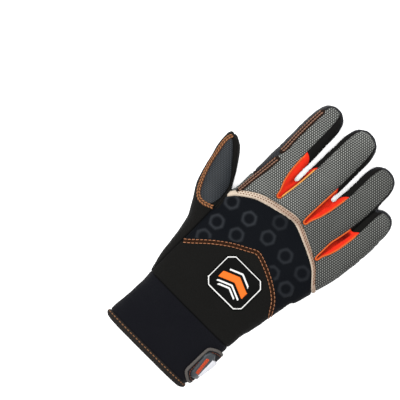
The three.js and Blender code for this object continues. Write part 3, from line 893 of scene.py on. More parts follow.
finishes = {
    # the knit's dark tint is painted shade, stronger towards the little finger
    "knit": clothMaterial("greyKnit", (0.03, 0.031, 0.029), (0.25, 0.256, 0.242), 0.00212, 0.4, 0.0004,
                          patch=0.5, rim=(0.012, 0.011, 0.01), shade=(0.012, 0.012, 0.011)),
    "stretch": clothMaterial("blackStretch", (0.002, 0.002, 0.0018), (0.0078, 0.0075, 0.0068), *tapeWeave,
                             rim=(0.0006, 0.0006, 0.0006)),
    # the navy foam's paler raised tone is the rings' painted highlight
    "neoprene": clothMaterial("navyNeoprene", (0.0011, 0.0015, 0.0024), (0.0032, 0.0041, 0.0057),
                              *foamWeave, rough=(0.7, 0.85), gloss=0.04, raised=(0.0125, 0.0142, 0.017),
                              rim=(0.0006, 0.0006, 0.0007)),
    "cuff": clothMaterial("navyLoop", (0.0017, 0.0018, 0.0029), (0.0056, 0.0058, 0.0082), *strapWeave,
                          rim=(0.0004, 0.0004, 0.0004)),
    "leather": clothMaterial("dottedLeather", (0.005, 0.006, 0.0075), (0.032, 0.038, 0.044), *leatherGrain,
                             **leatherLook, gloss=0.16, rim=(0.003, 0.003, 0.0035)),
    "palmLeather": clothMaterial("palmLeather", (0.0028, 0.003, 0.004), (0.026, 0.028, 0.034),
                                 *leatherGrain, **leatherLook, gloss=0.14, rim=(0.0015, 0.0015, 0.0018)),
    # the pads' dark tint is painted shade in their creases; their paler tone marks the rubbed band
    "padLeather": clothMaterial("padLeather", (0.005, 0.0056, 0.007), (0.035, 0.039, 0.047), 0.0017, 0.42,
                                0.0003, **leatherLook, gloss=0.16, raised=(0.062, 0.067, 0.078),
                                shade=(0.001, 0.001, 0.0012)),
    # the gusset's dark red tint is painted shade in its fold
    "gusset": clothMaterial("redStretch", (0.5, 0.013, 0.005), (0.66, 0.032, 0.01), *foamWeave,
                            rim=(0.52, 0.1, 0.022), shade=(0.12, 0.004, 0.002)),
    "tape": clothMaterial("tanTape", (0.17, 0.115, 0.085), (0.36, 0.26, 0.2), *tapeWeave,
                          rim=(0.43, 0.36, 0.285)),
    "rubber": clothMaterial("greyRubber", (0.015, 0.018, 0.021), (0.036, 0.042, 0.048), 0.0011, 0.5,
                            0.0001, rough=(0.35, 0.5), sheen=0.0, gloss=0.3),
    "orangeRubber": clothMaterial("orangeRubber", (0.25, 0.03, 0.011), (0.37, 0.05, 0.019), 0.002, 0.5,
                                  0.0001, **leatherLook, gloss=0.08),
    "label": clothMaterial("whiteSatin", (0.5, 0.5, 0.53), (0.62, 0.62, 0.65), 0.0006, 0.5, 0.0001),
    "blackFilm": clothMaterial("blackFilm", (0.0014, 0.0014, 0.0014), (0.0028, 0.0028, 0.0028), *filmWeave,
                               rough=(0.75, 0.85), sheen=0.0, gloss=0.05),
    "orangePrint": clothMaterial("orangePrint", (0.5, 0.095, 0.01), (0.56, 0.115, 0.013), *filmWeave,
                                 rough=(0.6, 0.7), sheen=0.0),
    "white": clothMaterial("whiteFilm", (0.5, 0.5, 0.49), (0.62, 0.62, 0.6), 0.001, 0.5, 0.00005,
                           rough=(0.6, 0.7)),
}
for finish, name, dark, light, weave in (
    ("piping", "orangePiping", (0.36, 0.055, 0.012), (0.56, 0.12, 0.028), pipingWeave),
    ("palePiping", "amberPiping", (0.42, 0.17, 0.035), (0.6, 0.29, 0.075), pipingWeave),
    # the fold tape's dark brown is partly the seam's brown fold, partly painted shade between the rows of
    # stitches
    ("foldTape", "foldTape", (0.006, 0.002, 0.0008), (0.032, 0.012, 0.005), tapeWeave),
    ("stripTape", "stripTape", (0.003, 0.0017, 0.001), (0.026, 0.014, 0.009), tapeWeave),
    ("brownTape", "brownTape", (0.02, 0.009, 0.005), (0.075, 0.034, 0.018), tapeWeave),
    ("binding", "darkBinding", (0.0055, 0.0047, 0.0042), (0.021, 0.0185, 0.0165), tapeWeave),
    ("hemThread", "hemThread", (0.07, 0.03, 0.015), (0.2, 0.095, 0.052), threadWeave),
    ("thread", "orangeThread", (0.13, 0.045, 0.016), (0.42, 0.2, 0.11), threadWeave),
    ("chainThread", "chainThread", (0.13, 0.05, 0.02), (0.34, 0.155, 0.07), threadWeave),
    ("tanThread", "tanThread", (0.1, 0.045, 0.02), (0.27, 0.13, 0.062), threadWeave),
    ("brownThread", "brownThread", (0.11, 0.053, 0.034), (0.31, 0.175, 0.122), threadWeave),
    ("rustThread", "rustThread", (0.06, 0.018, 0.01), (0.19, 0.062, 0.036), threadWeave),
    ("strap", "greyPiping", (0.04, 0.036, 0.033), (0.12, 0.109, 0.102), strapWeave),
    ("strapCloth", "darkStrap", (0.005, 0.005, 0.0056), (0.016, 0.016, 0.0172), strapWeave),
):
    finishes[finish] = clothMaterial(name, dark, light, *weave)

print("cutting out the panels")


# What only some of the panels have: a wider rim, a fold, a paler wash, a wash of painted shade, a thicker
# wall
panelExtras = {
    "cuffBinding": {"inner": 1.8},
    "knitBack": {"dimX": -6, "dimLength": 40, "dimmest": 0.36},
    "knitTape": {"paleX": -40, "paleLength": 50},
    "indexMiddleGusset": {"web": 0, "rim": 1.8, "fold": 1.8, "foldAt": 0.8},
    "middleRingGusset": {"web": 1, "rim": 1.8, "fold": 2.6, "foldAt": 0.3},
    "ringLittleGusset": {"web": 2, "rim": 1.8, "fold": 3.2, "foldAt": 0.3},
}
seams = {
    "rim": 0.9,
    "tuck": 0.5,  # how far the lip goes under the neighbours, and how much deeper away from the seam
    "tuckSlope": 0.4,
    "foldWidth": 0.9,
    "foldStart": 1,
    "foldFade": 3,
}
rings = {"radius": 8.0, "hole": 2.8, "relief": 1.1, "soft": 2.3, "roundness": 0.35, "hexagon": 0.65,
         "edge": 2.5, "edgeFade": 2}
ringPlaces = table("x y depth", [
    (-34.7, 135.4, 1), (-15.4, 135.6, 1), (6, 135.4, 0.8), (26.2, 134.9, 0.7), (45.6, 134.6, 0.5),
    (-32, 115.6, 1), (-13.4, 119, 0.9), (28.3, 117.6, 0.7), (45.1, 116.6, 0.7), (-31.3, 99.6, 0.9),
    (4.2, 151, 0.5),
])


def ringHeight(x, y):
    # six-sided nuts pressed into the foam, flat beside the sewn edge
    height = np.zeros(len(x))
    for place in ringPlaces:
        dx, dy = x - place["x"], y - place["y"]
        away = np.hypot(dx, dy)
        side = np.mod(np.arctan2(dy, dx), math.pi / 3) - math.pi / 6
        corner = rings["roundness"] + rings["hexagon"] * math.cos(math.pi / 6)
        hexagon = away * (rings["roundness"] + rings["hexagon"] * np.cos(side)) / corner
        outer = smoothStep((rings["radius"] - hexagon) / rings["soft"])
        inner = smoothStep((away - rings["hole"]) / rings["soft"])
        height = np.maximum(height, place["depth"] * rings["relief"] * outer * inner)
    return height * smoothStep((y - lineY(backLine, x) - rings["edge"]) / rings["edgeFade"])


def fade(book, at, length, x):
    # how far a place is into a wash of another tone, or nothing where the panel has none
    return smoothStep((x - book[at]) / book[length]) if at in book else np.zeros(len(x))


def cutPanel(name, book):
    # one panel, with a narrow lip all round that is tucked under its neighbours
    number = panelNames.index(name)
    bm = skin.copy()
    raised, rim, shade, lip = (bm.verts.layers.float.new(key) for key in ("raised", "rim", "shade", "lip"))
    layer = bm.faces.layers.int["panel"]
    own = dict.fromkeys(v for f in bm.faces if f[layer] == number for v in f.verts)
    for v in bm.verts:
        v[lip] = 0 if v in own else 1
    kept = dict(own)
    for _ in range(2):
        kept.update(dict.fromkeys(u for v in list(kept) for f in v.link_faces for u in f.verts))
    bmesh.ops.delete(bm, geom=[v for v in bm.verts if v not in kept], context="VERTS")
    seam = bm.verts.layers.float["seam"]
    out = bm.verts.layers.float_vector["out"]
    if name == "knucklePanel":
        bmesh.ops.subdivide_edges(bm, edges=bm.edges, cuts=1, use_grid_fill=True)
    x, y, z = places([v.co for v in bm.verts])
    lift = ringHeight(x, y) if name == "knucklePanel" else np.zeros(len(x))
    edging = np.ones(len(x))
    if "web" in book:
        # the two halves of a gusset meet in a fold, darkened with painted shade; its end under the
        # sidewalls isn't edged
        a, b = gussetPairs[book["web"]]
        left, right = coverX(a, y, 1), coverX(b, y, -1)
        edging = smoothStep((-gussetEdge(a, b)(x, y, z) - seams["foldStart"]) / seams["foldFade"])
        foldX = left + (right - left) * book["foldAt"]
        lift = -crease(book["fold"], seams["foldWidth"], foldX, x) * edging
    # the tape is paler near the thumb, and the knit gets painted shade, darker towards the little finger
    wash = 1 - fade(book, "paleX", "paleLength", x) if "paleX" in book else np.zeros(len(x))
    dim = fade(book, "dimX", "dimLength", x) * book.get("dimmest", 1)
    for v, extra, edged, pale, dark in zip(bm.verts, lift, edging, wash, dim):
        # on the knuckle panel the rings' height sets their painted highlight
        v[raised] = max(extra, 0) / rings["relief"]
        # painted shade: darker in a gusset's fold, and on the knit towards the little finger
        v[shade] = min(max(-extra, 0) / book.get("fold", 1) + dark, 1)
        # the lips tucked under the neighbours take the full rim colour, on the dark cloths painted shade
        # at the bottom of the seam
        if v[lip] > 0.5:
            v[rim] = edged
            tucked = book["groove"] + seams["tuck"] + seams["tuckSlope"] * v[seam]
            v.co -= Vector(v[out]).normalized() * tucked
            continue
        v[rim] = max(edged * (1 - smoothStep(v[seam] / book.get("rim", seams["rim"]))), pale)
        eased = smoothStep(v[seam] / book["roll"])
        rise = (book["rise"] + extra) * eased - book["groove"] * (1 - eased)
        v.co += Vector(v[out]).normalized() * rise
    wall = hand["wall"] + book.get("inner", 0)
    addPiece(name, bm, book["finish"], [book["node"]], wall)


for name, book in panelBook.items():
    cutPanel(name, {**book, **panelExtras.get(name, {})})


print("laying the paths of the sewing")


farOff = 150  # from the glove's middle, where a ray towards it starts


def castFrom(start, direction):
    spot, normal = skinTree.ray_cast(Vector(start), Vector(direction))[:2]
    return (spot, normal) if spot else None


def castDown(x, y):
    return castFrom((x, y, farOff), (0, 0, -1))


def castIn(x, y, z, angle):
    # from outside towards a finger's or the cuff's middle
    way = Vector((math.cos(angle), 0, math.sin(angle)))
    return castFrom(Vector((x, y, z)) + way * farOff, -way)


def evenly(path, spacing, closed=False):
    # the same path with its points at even distances
    path = [spot for spot in path if spot]
    if closed:
        path = path + path[:1]
    values = np.array([[*spot, *normal] for spot, normal in path])
    far = np.concatenate([[0], np.cumsum(np.linalg.norm(np.diff(values[:, :3], axis=0), axis=1))])
    count = max(2, round(far[-1] / spacing) + 1)
    at = np.linspace(0, far[-1], count)
    columns = np.stack([np.interp(at, far, column) for column in values.T], axis=1)
    spots = [(Vector(row[:3]), Vector(row[3:]).normalized()) for row in columns]
    return spots[:-1] if closed else spots


def smoothed(path, rounds, closed=False):
    for _ in range(rounds):
        count = len(path)
        ends = () if closed else (0, count - 1)
        path = [path[i] if i in ends else (
            path[i][0] * 0.5 + (path[i - 1][0] + path[(i + 1) % count][0]) * 0.25,
            (path[i][1] * 0.5 + (path[i - 1][1] + path[(i + 1) % count][1]) * 0.25).normalized(),
        ) for i in range(count)]
    return path


def squareTo(path, i, closed=False):
    # along the path, sideways in the cloth and out of it, at one of its points
    count = len(path)
    before = path[i - 1][0] if i or closed else path[0][0]
    after = path[(i + 1) % count][0] if closed or i + 1 < count else path[i][0]
    along = (after - before).normalized()
    side = along.cross(path[i][1]).normalized()
    return along, side, side.cross(along)


def shifted(path, distance, lift=0.0, closed=False):
    # a path beside another one, at a distance over the cloth
    moved = []
    for i, (spot, normal) in enumerate(path):
        side = squareTo(path, i, closed)[1]
        near, out = skinTree.find_nearest(spot + side * distance)[:2]
        moved.append((near + out * lift, out))
    return moved


def turnedTo(columns, place):
    # a matrix with these three axes, at a place
    turned = Matrix(columns).transposed().to_4x4()
    turned.translation = place
    return turned


def sewRow(bm, path, thread, closed=False, lean=0.0):
    # a row of stitches, each a grain pulled down at both its ends
    spots = evenly(path, thread["pitch"], closed)
    if closed:
        spots = spots + spots[:1]
    for (a, first), (b, second) in zip(spots, spots[1:]):
        way = (b - a).normalized()
        out = (first + second).normalized()
        along = (way + way.cross(out) * (lean + random.uniform(-stitchWaver, stitchWaver))).normalized()
        side = along.cross(out).normalized()
        axes = (side * thread["width"] / 2, out * thread["height"] / 2, along * thread["length"] / 2)
        grain = turnedTo(axes, (a + b) / 2 + out * thread["lift"])
        bmesh.ops.create_uvsphere(bm, u_segments=6, v_segments=5, radius=1, matrix=grain)


def layCord(bm, path, cord, closed=False):
    # a round or flattened cord along a path, through circles set square to it
    loops = []
    for i, (spot, normal) in enumerate(path):
        along, side, out = squareTo(path, i, closed)
        axes = (side * cord["width"] / 2, out * cord["height"] / 2, along)
        ring = turnedTo(axes, spot + normal * cord["lift"])
        capped = not closed and i in (0, len(path) - 1)
        if capped:
            ring @= Matrix.Scale(0.5, 4)
        verts = bmesh.ops.create_circle(bm, cap_ends=capped, segments=8, radius=1, matrix=ring)["verts"]
        loops.append(list(dict.fromkeys(e for v in verts for e in v.link_edges)))
    pairs = zip(loops, loops[1:] + loops[:1]) if closed else zip(loops, loops[1:])
    for a, b in pairs:
        bmesh.ops.bridge_loops(bm, edges=a + b)
    bmesh.ops.recalc_face_normals(bm, faces=bm.faces)


def layBand(bm, path, band):
    # a flat tape along a path, its edges sewn down to the cloth
    count = len(path) - 1
    for v in bmesh.ops.create_grid(bm, x_segments=count, y_segments=band["rows"], size=0.5)["verts"]:
        i = round((v.co.x + 0.5) * count)
        across = v.co.y * 2
        spot, normal = path[i]
        side = squareTo(path, i)[1]
        narrow = 1 - bandEnd["narrower"] * abs(2 * i / count - 1) ** bandEnd["power"]
        wide = spot - side * across * narrow * band["width"] / 2
        near, out = skinTree.find_nearest(wide)[:2]
        v.co = near + out * (band["edge"] + (band["lift"] - band["edge"]) * (1 - across ** 4))
    bmesh.ops.recalc_face_normals(bm, faces=bm.faces)


def sewPair(bm, path, book, thread, lean=0.0, skipped=0):
    # two rows of stitches, one along each side of a band
    for side in (-1, 1):
        row = shifted(path, side * book["stitchIn"], lift=book["lift"])
        sewRow(bm, row[skipped:len(row) - skipped], thread, lean=side * lean)


def cutPatch(inside, spare=2.5):
    # the part of the skin within an outline; inside gives the millimetres from it, positive within
    bm = skin.copy()
    values = inside(*places([v.co for v in bm.verts]))
    bm.verts.index_update()
    far = [f for f in bm.faces if all(values[v.index] < -spare for v in f.verts)]
    bmesh.ops.delete(bm, geom=far, context="FACES")
    scoreLine(bm, inside)
    kept = inside(*places([f.calc_center_median() for f in bm.faces])) >= 0
    bmesh.ops.delete(bm, geom=[f for f, keep in zip(bm.faces, kept) if not keep], context="FACES")
    return bm


def liftPatch(bm, inside, book):
    # raises a cut piece off the skin, with a rounded edge
    out = bm.verts.layers.float_vector["out"]
    values = inside(*places([v.co for v in bm.verts]))
    for v, away in zip(bm.verts, values):
        eased = math.sin(min(max(away, 0) / book["roll"], 1) * math.pi / 2)
        v.co += Vector(v[out]).normalized() * (book["edge"] + (book["lift"] - book["edge"]) * eased)
    return bm


def edgePath(bm):
    # the points round the open edge of a cut piece, in order, from its longest loop
    out = bm.verts.layers.float_vector["out"]
    left = dict.fromkeys(e for e in bm.edges if e.is_boundary)
    longest = []
    while left:
        edge = next(iter(left))
        v = edge.verts[0]
        path = []
        while edge in left:
            del left[edge]
            path.append((v.co.copy(), Vector(v[out]).normalized()))
            v = edge.other_vert(v)
            edge = next((e for e in v.link_edges if e in left), edge)
        longest = max(longest, path, key=len)
    return longest


threads = {
    "seam": {"pitch": 3.3, "length": 2.8, "width": 0.85, "height": 0.75, "lift": 0.4},
    "fine": {"pitch": 2.5, "length": 2.0, "width": 0.65, "height": 0.6, "lift": 0.15},
    "chain": {"pitch": 2.7, "length": 2.8, "width": 1.35, "height": 0.9, "lift": 0.2},
    "strip": {"pitch": 2.4, "length": 2.5, "width": 1.2, "height": 0.8, "lift": 0.15},
    "hem": {"pitch": 2.4, "length": 1.7, "width": 0.9, "height": 0.6, "lift": 0.75},
    "cuff": {"pitch": 3.2, "length": 2.3, "width": 1.0, "height": 0.7, "lift": 0.85},
}
stitchWaver = 0.05  # how much a stitch may lean off its row
bandEnd = {"narrower": 0.55, "power": 16}  # how a tape narrows at its two ends
hemRows = {"shares": (0.4, 0.74), "left": -37, "right": 59, "lean": 0.15}
chevron = {"left": -40.5, "right": 55.5, "width": 3.7, "rows": 6, "lift": 0.3, "edge": 0.05, "wall": 0.4,
           "stitchIn": 1.4, "spacing": 1.5, "smoothing": 2}


def alongLine(height, book, count=140):
    return [castDown(x, float(height(x))) for x in np.linspace(book["left"], book["right"], count)]


def sewBack():
    bm = bmesh.new()
    for number, share in enumerate(hemRows["shares"]):
        row = alongLine(lambda x: lineY(hemLine, x) + share * tapeWide(x), hemRows)
        sewRow(bm, row, threads["hem"], lean=hemRows["lean"] * (1 - 2 * number))
    addPiece("hemStitches", bm, "hemThread")
    path = alongLine(lambda x: lineY(backLine, x), chevron)
    path = smoothed(evenly(path, chevron["spacing"]), chevron["smoothing"])
    band, stitches = bmesh.new(), bmesh.new()
    layBand(band, path, chevron)
    # the dark tape between the two rows of stitches is partly the seam's brown fold, partly painted shade
    # between the rows
    addPiece("backTape", band, "foldTape", wall=chevron["wall"])
    sewPair(stitches, path, chevron, threads["seam"])
    addPiece("backStitches", stitches, "thread")


sewBack()

stripBook = {
    "width": 6.4,
    "lift": 0.7,
    "edge": 0.05,
    "rows": 8,
    "angle": 2.38,  # round the finger from the little finger's side
    "wall": 0.5,
    "stitchIn": 1.15,
    "lean": 0.3,
    "spacing": 1.2,
    "smoothing": 6,
}
stripEnds = [{"low": 144, "high": 188, "turn": 0.16}, {"low": 191, "high": 241, "turn": 0.0}]


def sewIndexStrips():
    strips, stitches = bmesh.new(), bmesh.new()
    for ends in stripEnds:
        path = []
        for y in np.linspace(ends["low"], ends["high"], 60):
            share = (y - ends["low"]) / (ends["high"] - ends["low"])
            angle = stripBook["angle"] + ends["turn"] * (1 - 2 * share)
            path.append(castIn(float(fingerX(index, y)), y, float(archZ(y)), angle))
        path = smoothed(evenly(path, stripBook["spacing"]), stripBook["smoothing"])
        layBand(strips, path, stripBook)
        sewPair(stitches, path, stripBook, threads["strip"], stripBook["lean"], 2)
    addPiece("indexStrips", strips, "stripTape", wall=stripBook["wall"])
    addPiece("indexStitches", stitches, "brownThread")


sewIndexStrips()

thumbBand = {"width": 4.4, "lift": 0.9, "edge": 0.1, "rows": 8, "wall": 0.6, "stitchIn": 0.95,
             "outset": 1.2, "lean": 0.4, "spacing": 1.2, "smoothing": 12}
thumbRidge = {"width": 1.5, "height": 1.5, "lift": 0.2, "insets": (2.2, 4.4), "smoothing": (4, 6)}


def softLine(points, rounds=3):
    # a line's corners cut round, its two ends kept
    points = np.array(points, float)
    for _ in range(rounds):
        cut = cutCorners(points[:-1], points[1:])
        points = np.concatenate([points[:1], cut[1:-1], points[-1:]])
    return points


def sewThumbBand():
    outline = [(row["across"] * hand["width"], row["along"] * hand["length"]) for row in thumbPatch]
    left, right = (evenly([castDown(x, y) for x, y in softLine(side)], thumbBand["spacing"])
                   for side in (outline[6::-1], outline[6:] + outline[:1]))
    path = shifted(smoothed(left, thumbBand["smoothing"]), thumbBand["outset"])
    path = smoothed(path, thumbBand["smoothing"])
    band, stitches, ridge = bmesh.new(), bmesh.new(), bmesh.new()
    layBand(band, path, thumbBand)
    addPiece("thumbBand", band, "brownTape", wall=thumbBand["wall"])
    sewPair(stitches, path, thumbBand, threads["chain"], thumbBand["lean"])
    addPiece("thumbStitches", stitches, "chainThread")
    before, after = thumbRidge["smoothing"]
    for inset in thumbRidge["insets"]:
        layCord(ridge, smoothed(shifted(smoothed(right, before), -inset), after), thumbRidge)
    addPiece("thumbRidge", ridge, "stretch")


sewThumbBand()

piping = {"width": 1.35, "height": 1.3, "lift": 0.1, "short": 3.5, "spacing": 1.1, "smoothing": 3,
          "sideSteps": 34, "turnSteps": 12, "paleFrom": (4, 7)}


def pipeGussets():
    # an orange piping up both sides of each web and round its lower end, paler beside the middle finger
    bm, pale = bmesh.new(), bmesh.new()
    for a, b in gussetPairs:
        low = webLow(a, b)
        top = gussetTop(a, b) - piping["short"]
        left, right = float(coverX(a, low, 1)), float(coverX(b, low, -1))
        half = (right - left) / 2
        base = low - hand["fieldDepth"] + half
        rise = np.linspace(top, base, piping["sideSteps"])
        path = [castDown(float(coverX(a, y, 1)), y) for y in rise]
        for turn in np.linspace(math.pi, 2 * math.pi, piping["turnSteps"])[1:-1]:
            path.append(castDown((left + right) / 2 + half * math.cos(turn), base + half * math.sin(turn)))
        path += [castDown(float(coverX(b, y, -1)), y) for y in np.linspace(base, top, piping["sideSteps"])]
        path = smoothed(evenly(path, piping["spacing"]), piping["smoothing"])
        part, whole = piping["paleFrom"]
        cut = len(path) * part // whole if a is index else len(path)
        layCord(bm, path[:cut], piping)
        if a is index:
            layCord(pale, path[cut - 1:], piping)
    addPiece("gussetPiping", bm, "piping")
    addPiece("middlePiping", pale, "palePiping")


pipeGussets()

cuffSewing = {"y": 4.0, "steps": 150}


def sewCuffEnd():
    x, z = cuffMiddle(cuffSewing["y"])
    turns = np.linspace(0, 2 * math.pi, cuffSewing["steps"], endpoint=False)
    bm = bmesh.new()
    sewRow(bm, [castIn(x, cuffSewing["y"], z, turn) for turn in turns], threads["cuff"], closed=True)
    addPiece("cuffStitches", bm, "tanThread")


sewCuffEnd()

print("making the strap")

# Outlines of the strap, in shares of the hand's width and the cuff's length
# It passes round the little finger's edge
strapUnder = table("across along", [
    (-0.27, 0.24), (-0.25, 0.56), (-0.21, 0.6), (0.7, 0.92), (0.7, 0.2), (0.36, 0.24), (0.26, 0.3),
    (0.18, 0.18), (-0.21, 0.17),
])
strapOver = table("across along", [
    (0.7, 0.83), (0.4, 0.86), (0.335, 0.78), (0.328, 0.27), (0.39, 0.18), (0.7, 0.18),
])
insertOutline = table("across along", [
    (-0.22, 0.28), (-0.2, 0.52), (0.28, 0.68), (0.235, 0.36), (0.17, 0.25),
])
blockOutline = table("across along", [
    (0.343, 0.68), (0.358, 0.76), (0.4, 0.785), (0.425, 0.7), (0.425, 0.28), (0.38, 0.26),
    (0.356, 0.33),
])
barOutline = table("across along", [
    (0.363, 0.655), (0.388, 0.665), (0.402, 0.36), (0.377, 0.35),
])
strapBook = {
    "base": {"edge": 1.2, "lift": 2.3, "roll": 1.0, "wall": 1.1},
    "corner": 2.0,
    "tabCorner": 1.5,
    "spacing": 1.1,
    "smoothing": 3,
    "piping": {"width": 2.6, "height": 2.4, "lift": 1.5},
    "stitchIn": 2.3,
    "insert": {"edge": 2.3, "lift": 3.5, "roll": 1.1, "wall": 1.0},
    "block": {"edge": 2.3, "lift": 3.8, "roll": 1.0, "wall": 1.5},
    "bar": {"edge": 3.4, "lift": 4.3, "roll": 0.6, "wall": 1.0},
    "label": {"edge": 3.0, "lift": 3.9, "roll": 0.8, "wall": 0.8},
    "ridge": {"width": 1.5, "height": 1.6, "lift": 2.5},
    "ridgeEnds": [
        ((31.2, 35.6), (26.4, 17.4)),
        ((34.0, 36.2), (29.3, 17.6)),
        ((36.6, 36.8), (32.2, 16.2)),
    ],
}
labelUnder = {"left": 0.385, "right": 0.7, "low": 0.4, "high": 0.68}
labelOver = {"left": 0.398, "right": 0.7, "low": 0.34, "high": 0.71}
strapTurn = 6.0  # half the height over which the strap goes from its under outline to its upper one
cuffZ = cuffMiddle(hand["cuffLength"] / 2)[1]


def overShare(z):
    return smoothStep((z - cuffZ + strapTurn) / (2 * strapTurn))


def cuffOutline(outline, x, y, corner):
    return outlineDistance(outline, x, y, hand["cuffLength"], 2, corner)


def strapInside(x, y, z):
    over, under = (cuffOutline(line, x, y, strapBook["corner"]) for line in (strapOver, strapUnder))
    return under + (over - under) * overShare(z)


def boxInside(box, x, y):
    low, high = box["low"] * hand["cuffLength"], box["high"] * hand["cuffLength"]
    sides = np.minimum(x - box["left"] * hand["width"], box["right"] * hand["width"] - x)
    return np.minimum(sides, np.minimum(y - low, high - y))


def labelInside(x, y, z):
    under, over = boxInside(labelUnder, x, y), boxInside(labelOver, x, y)
    return under + (over - under) * overShare(z)


def facing(outline, up):
    # an outline on one side of the cuff only
    def inside(x, y, z):
        side = (z - cuffZ) * (1 if up else -1)
        return np.minimum(cuffOutline(outline, x, y, strapBook["tabCorner"]), side)
    return inside


def sewStrap():
    strap = cutPatch(strapInside)
    edge = evenly(edgePath(strap), strapBook["spacing"], closed=True)
    edge = smoothed(edge, strapBook["smoothing"], closed=True)
    liftPatch(strap, strapInside, strapBook["base"])
    addPiece("strap", strap, "strapCloth", ["wrist_strap"], strapBook["base"]["wall"])
    cord = bmesh.new()
    layCord(cord, edge, strapBook["piping"], closed=True)
    addPiece("strapPiping", cord, "strap")
    middle = sum((spot for spot, normal in edge), Vector()) / len(edge)
    turned = sum(squareTo(edge, i, True)[1].dot(middle - edge[i][0]) for i in range(len(edge)))
    inward = math.copysign(1, turned)
    row = shifted(edge, inward * strapBook["stitchIn"], strapBook["base"]["lift"], closed=True)
    stitches = bmesh.new()
    sewRow(stitches, smoothed(row, strapBook["smoothing"], closed=True), threads["fine"], closed=True)
    addPiece("strapStitches", stitches, "rustThread")


def sewTab(name, inside, book, finish, nodes=()):
    # a moulded or printed part, cut to its outline and raised off the cloth
    patch = liftPatch(cutPatch(inside), inside, book)
    addPiece(name, patch, finish, nodes, book["wall"])


sewStrap()
for name, inside, kind, finish, slot, nodes in (
    ("strapInsert", facing(insertOutline, False), "insert", "rubber", "rubber", ["strap_insert"]),
    ("strapBlock", facing(blockOutline, True), "block", "rubber", "rubber", ["strap_block"]),
    ("strapBar", facing(barOutline, True), "bar", "orangeRubber", "rubber", []),
    ("pullLabel", labelInside, "label", "label", "label", ["pull_label"]),
):
    sewTab(name, inside, strapBook[kind], finish, nodes)


def sewRidges():
    bm = bmesh.new()
    for top, bottom in strapBook["ridgeEnds"]:
        path = []
        for share in np.linspace(0, 1, 16):
            x, y = (start + (end - start) * share for start, end in zip(top, bottom))
            path.append(castFrom((x, y, -farOff), (0, 0, 1)))
        layCord(bm, evenly(path, 1.0), strapBook["ridge"])
    addPiece("strapRidges", bm, "rubber")


sewRidges()

print("making the badge")

badge = {"x": 12.4, "y": 91, "halfX": 20, "halfY": 17, "corner": 5.5, "above": 15}
badgeBook = {
    "plate": {"edge": 0.5, "lift": 0.85, "roll": 0.6, "wall": 0.5},
    "print": {"edge": 0.85, "lift": 1.05, "roll": 0.3, "wall": 0.25},
    "lineIn": 1.1,
    "lineWidth": 0.9,
    "slope": 0.42,
}
badgeBars = [
    {"middle": 3.2, "half": 2.9, "reach": 13.2, "finish": "orangePrint"},
    {"middle": 9.4, "half": 0.75, "reach": 10.4, "finish": "white"},
    {"middle": -3.0, "half": 0.75, "reach": 12.0, "finish": "white"},
    {"middle": -6.0, "half": 0.75, "reach": 9.0, "finish": "white"},
]


def badgeInside(x, y, z):
    u, v = np.abs(x - badge["x"]), np.abs(y - badge["y"])
    corner = (badge["halfX"] + badge["halfY"] - badge["corner"] - u - v) / math.sqrt(2)
    sides = np.minimum(badge["halfX"] - u, badge["halfY"] - v)
    return np.minimum(sides, np.minimum(corner, z - badge["above"]))


def badgeLine(x, y, z):
    half = badgeBook["lineWidth"] / 2
    away = np.abs(badgeInside(x, y, z) - badgeBook["lineIn"] - half)
    return half - away + np.minimum(z - badge["above"], 0)


def badgeBar(bar):
    # a plain chevron that points to the fingertips
    def inside(x, y, z):
        u, v = np.abs(x - badge["x"]), y - badge["y"]
        away = np.abs(v - bar["middle"] + u * badgeBook["slope"]) / math.hypot(1, badgeBook["slope"])
        return np.minimum(np.minimum(bar["half"] - away, bar["reach"] - u), z - badge["above"])
    return inside


sewTab("badgePlate", badgeInside, badgeBook["plate"], "blackFilm", ["badge"])
sewTab("badgeLine", badgeLine, badgeBook["print"], "white")
for number, bar in enumerate(badgeBars):
    sewTab(f"badgeBar{number + 1}", badgeBar(bar), badgeBook["print"], bar["finish"])

print("filling the palm's pads")

padOutlines = {
    "upperPalmPad": table("across along", [
        (-0.15, 0.962), (0.39, 0.928), (0.52, 0.895), (0.535, 0.76), (0.5, 0.715), (0.2, 0.737),
        (-0.16, 0.778), (-0.235, 0.83), (-0.22, 0.925),
    ]),
    "heelPad": table("across along", [
        (-0.07, 0.728), (0.46, 0.672), (0.48, 0.63), (0.42, 0.4), (0.37, 0.36), (0.0, 0.383),
        (-0.09, 0.415), (-0.12, 0.47), (-0.12, 0.69),
    ]),
    "thumbPad": table("across along", [
        (-0.43, 0.77), (-0.36, 0.8), (-0.27, 0.775), (-0.25, 0.66), (-0.3, 0.6), (-0.38, 0.65),
    ]),
}
padBook = {
    "upperPalmPad": {"node": "upper_palm_pad", "inset": 0.6, "thick": 2.9, "creases": [4.2]},
    "heelPad": {"node": "heel_pad", "inset": 0.6, "thick": 2.9, "creases": [4.2, 7.0]},
    "thumbPad": {"node": "thumb_pad", "inset": 0.4, "thick": 2.3, "creases": [2.6, 5.0]},
}
padFill = {
    "voxel": 1.3,
    "pressure": 4,
    "frames": 20,
    "cap": 1.3,  # the most that a point may move
    "sewn": 1.1,  # what is nearer to the palm than this is sewn to it
    "edge": 1.6,
    "sunk": 0.35,
    "roll": 4.0,
    "roundness": 0.6,
    "crease": 0.95,
    "creaseWidth": 0.9,
    "rubbed": 0.5,
    "rubbedWidth": 1.1,
    "rubbedIn": 2.3,
    "clear": 0.02,  # of the floor
}


def padInside(outline, inset):
    def inside(x, y, z):
        return np.minimum(outlineDistance(outline, x, y) - inset, hand["thickness"] / 2 - z)
    return inside


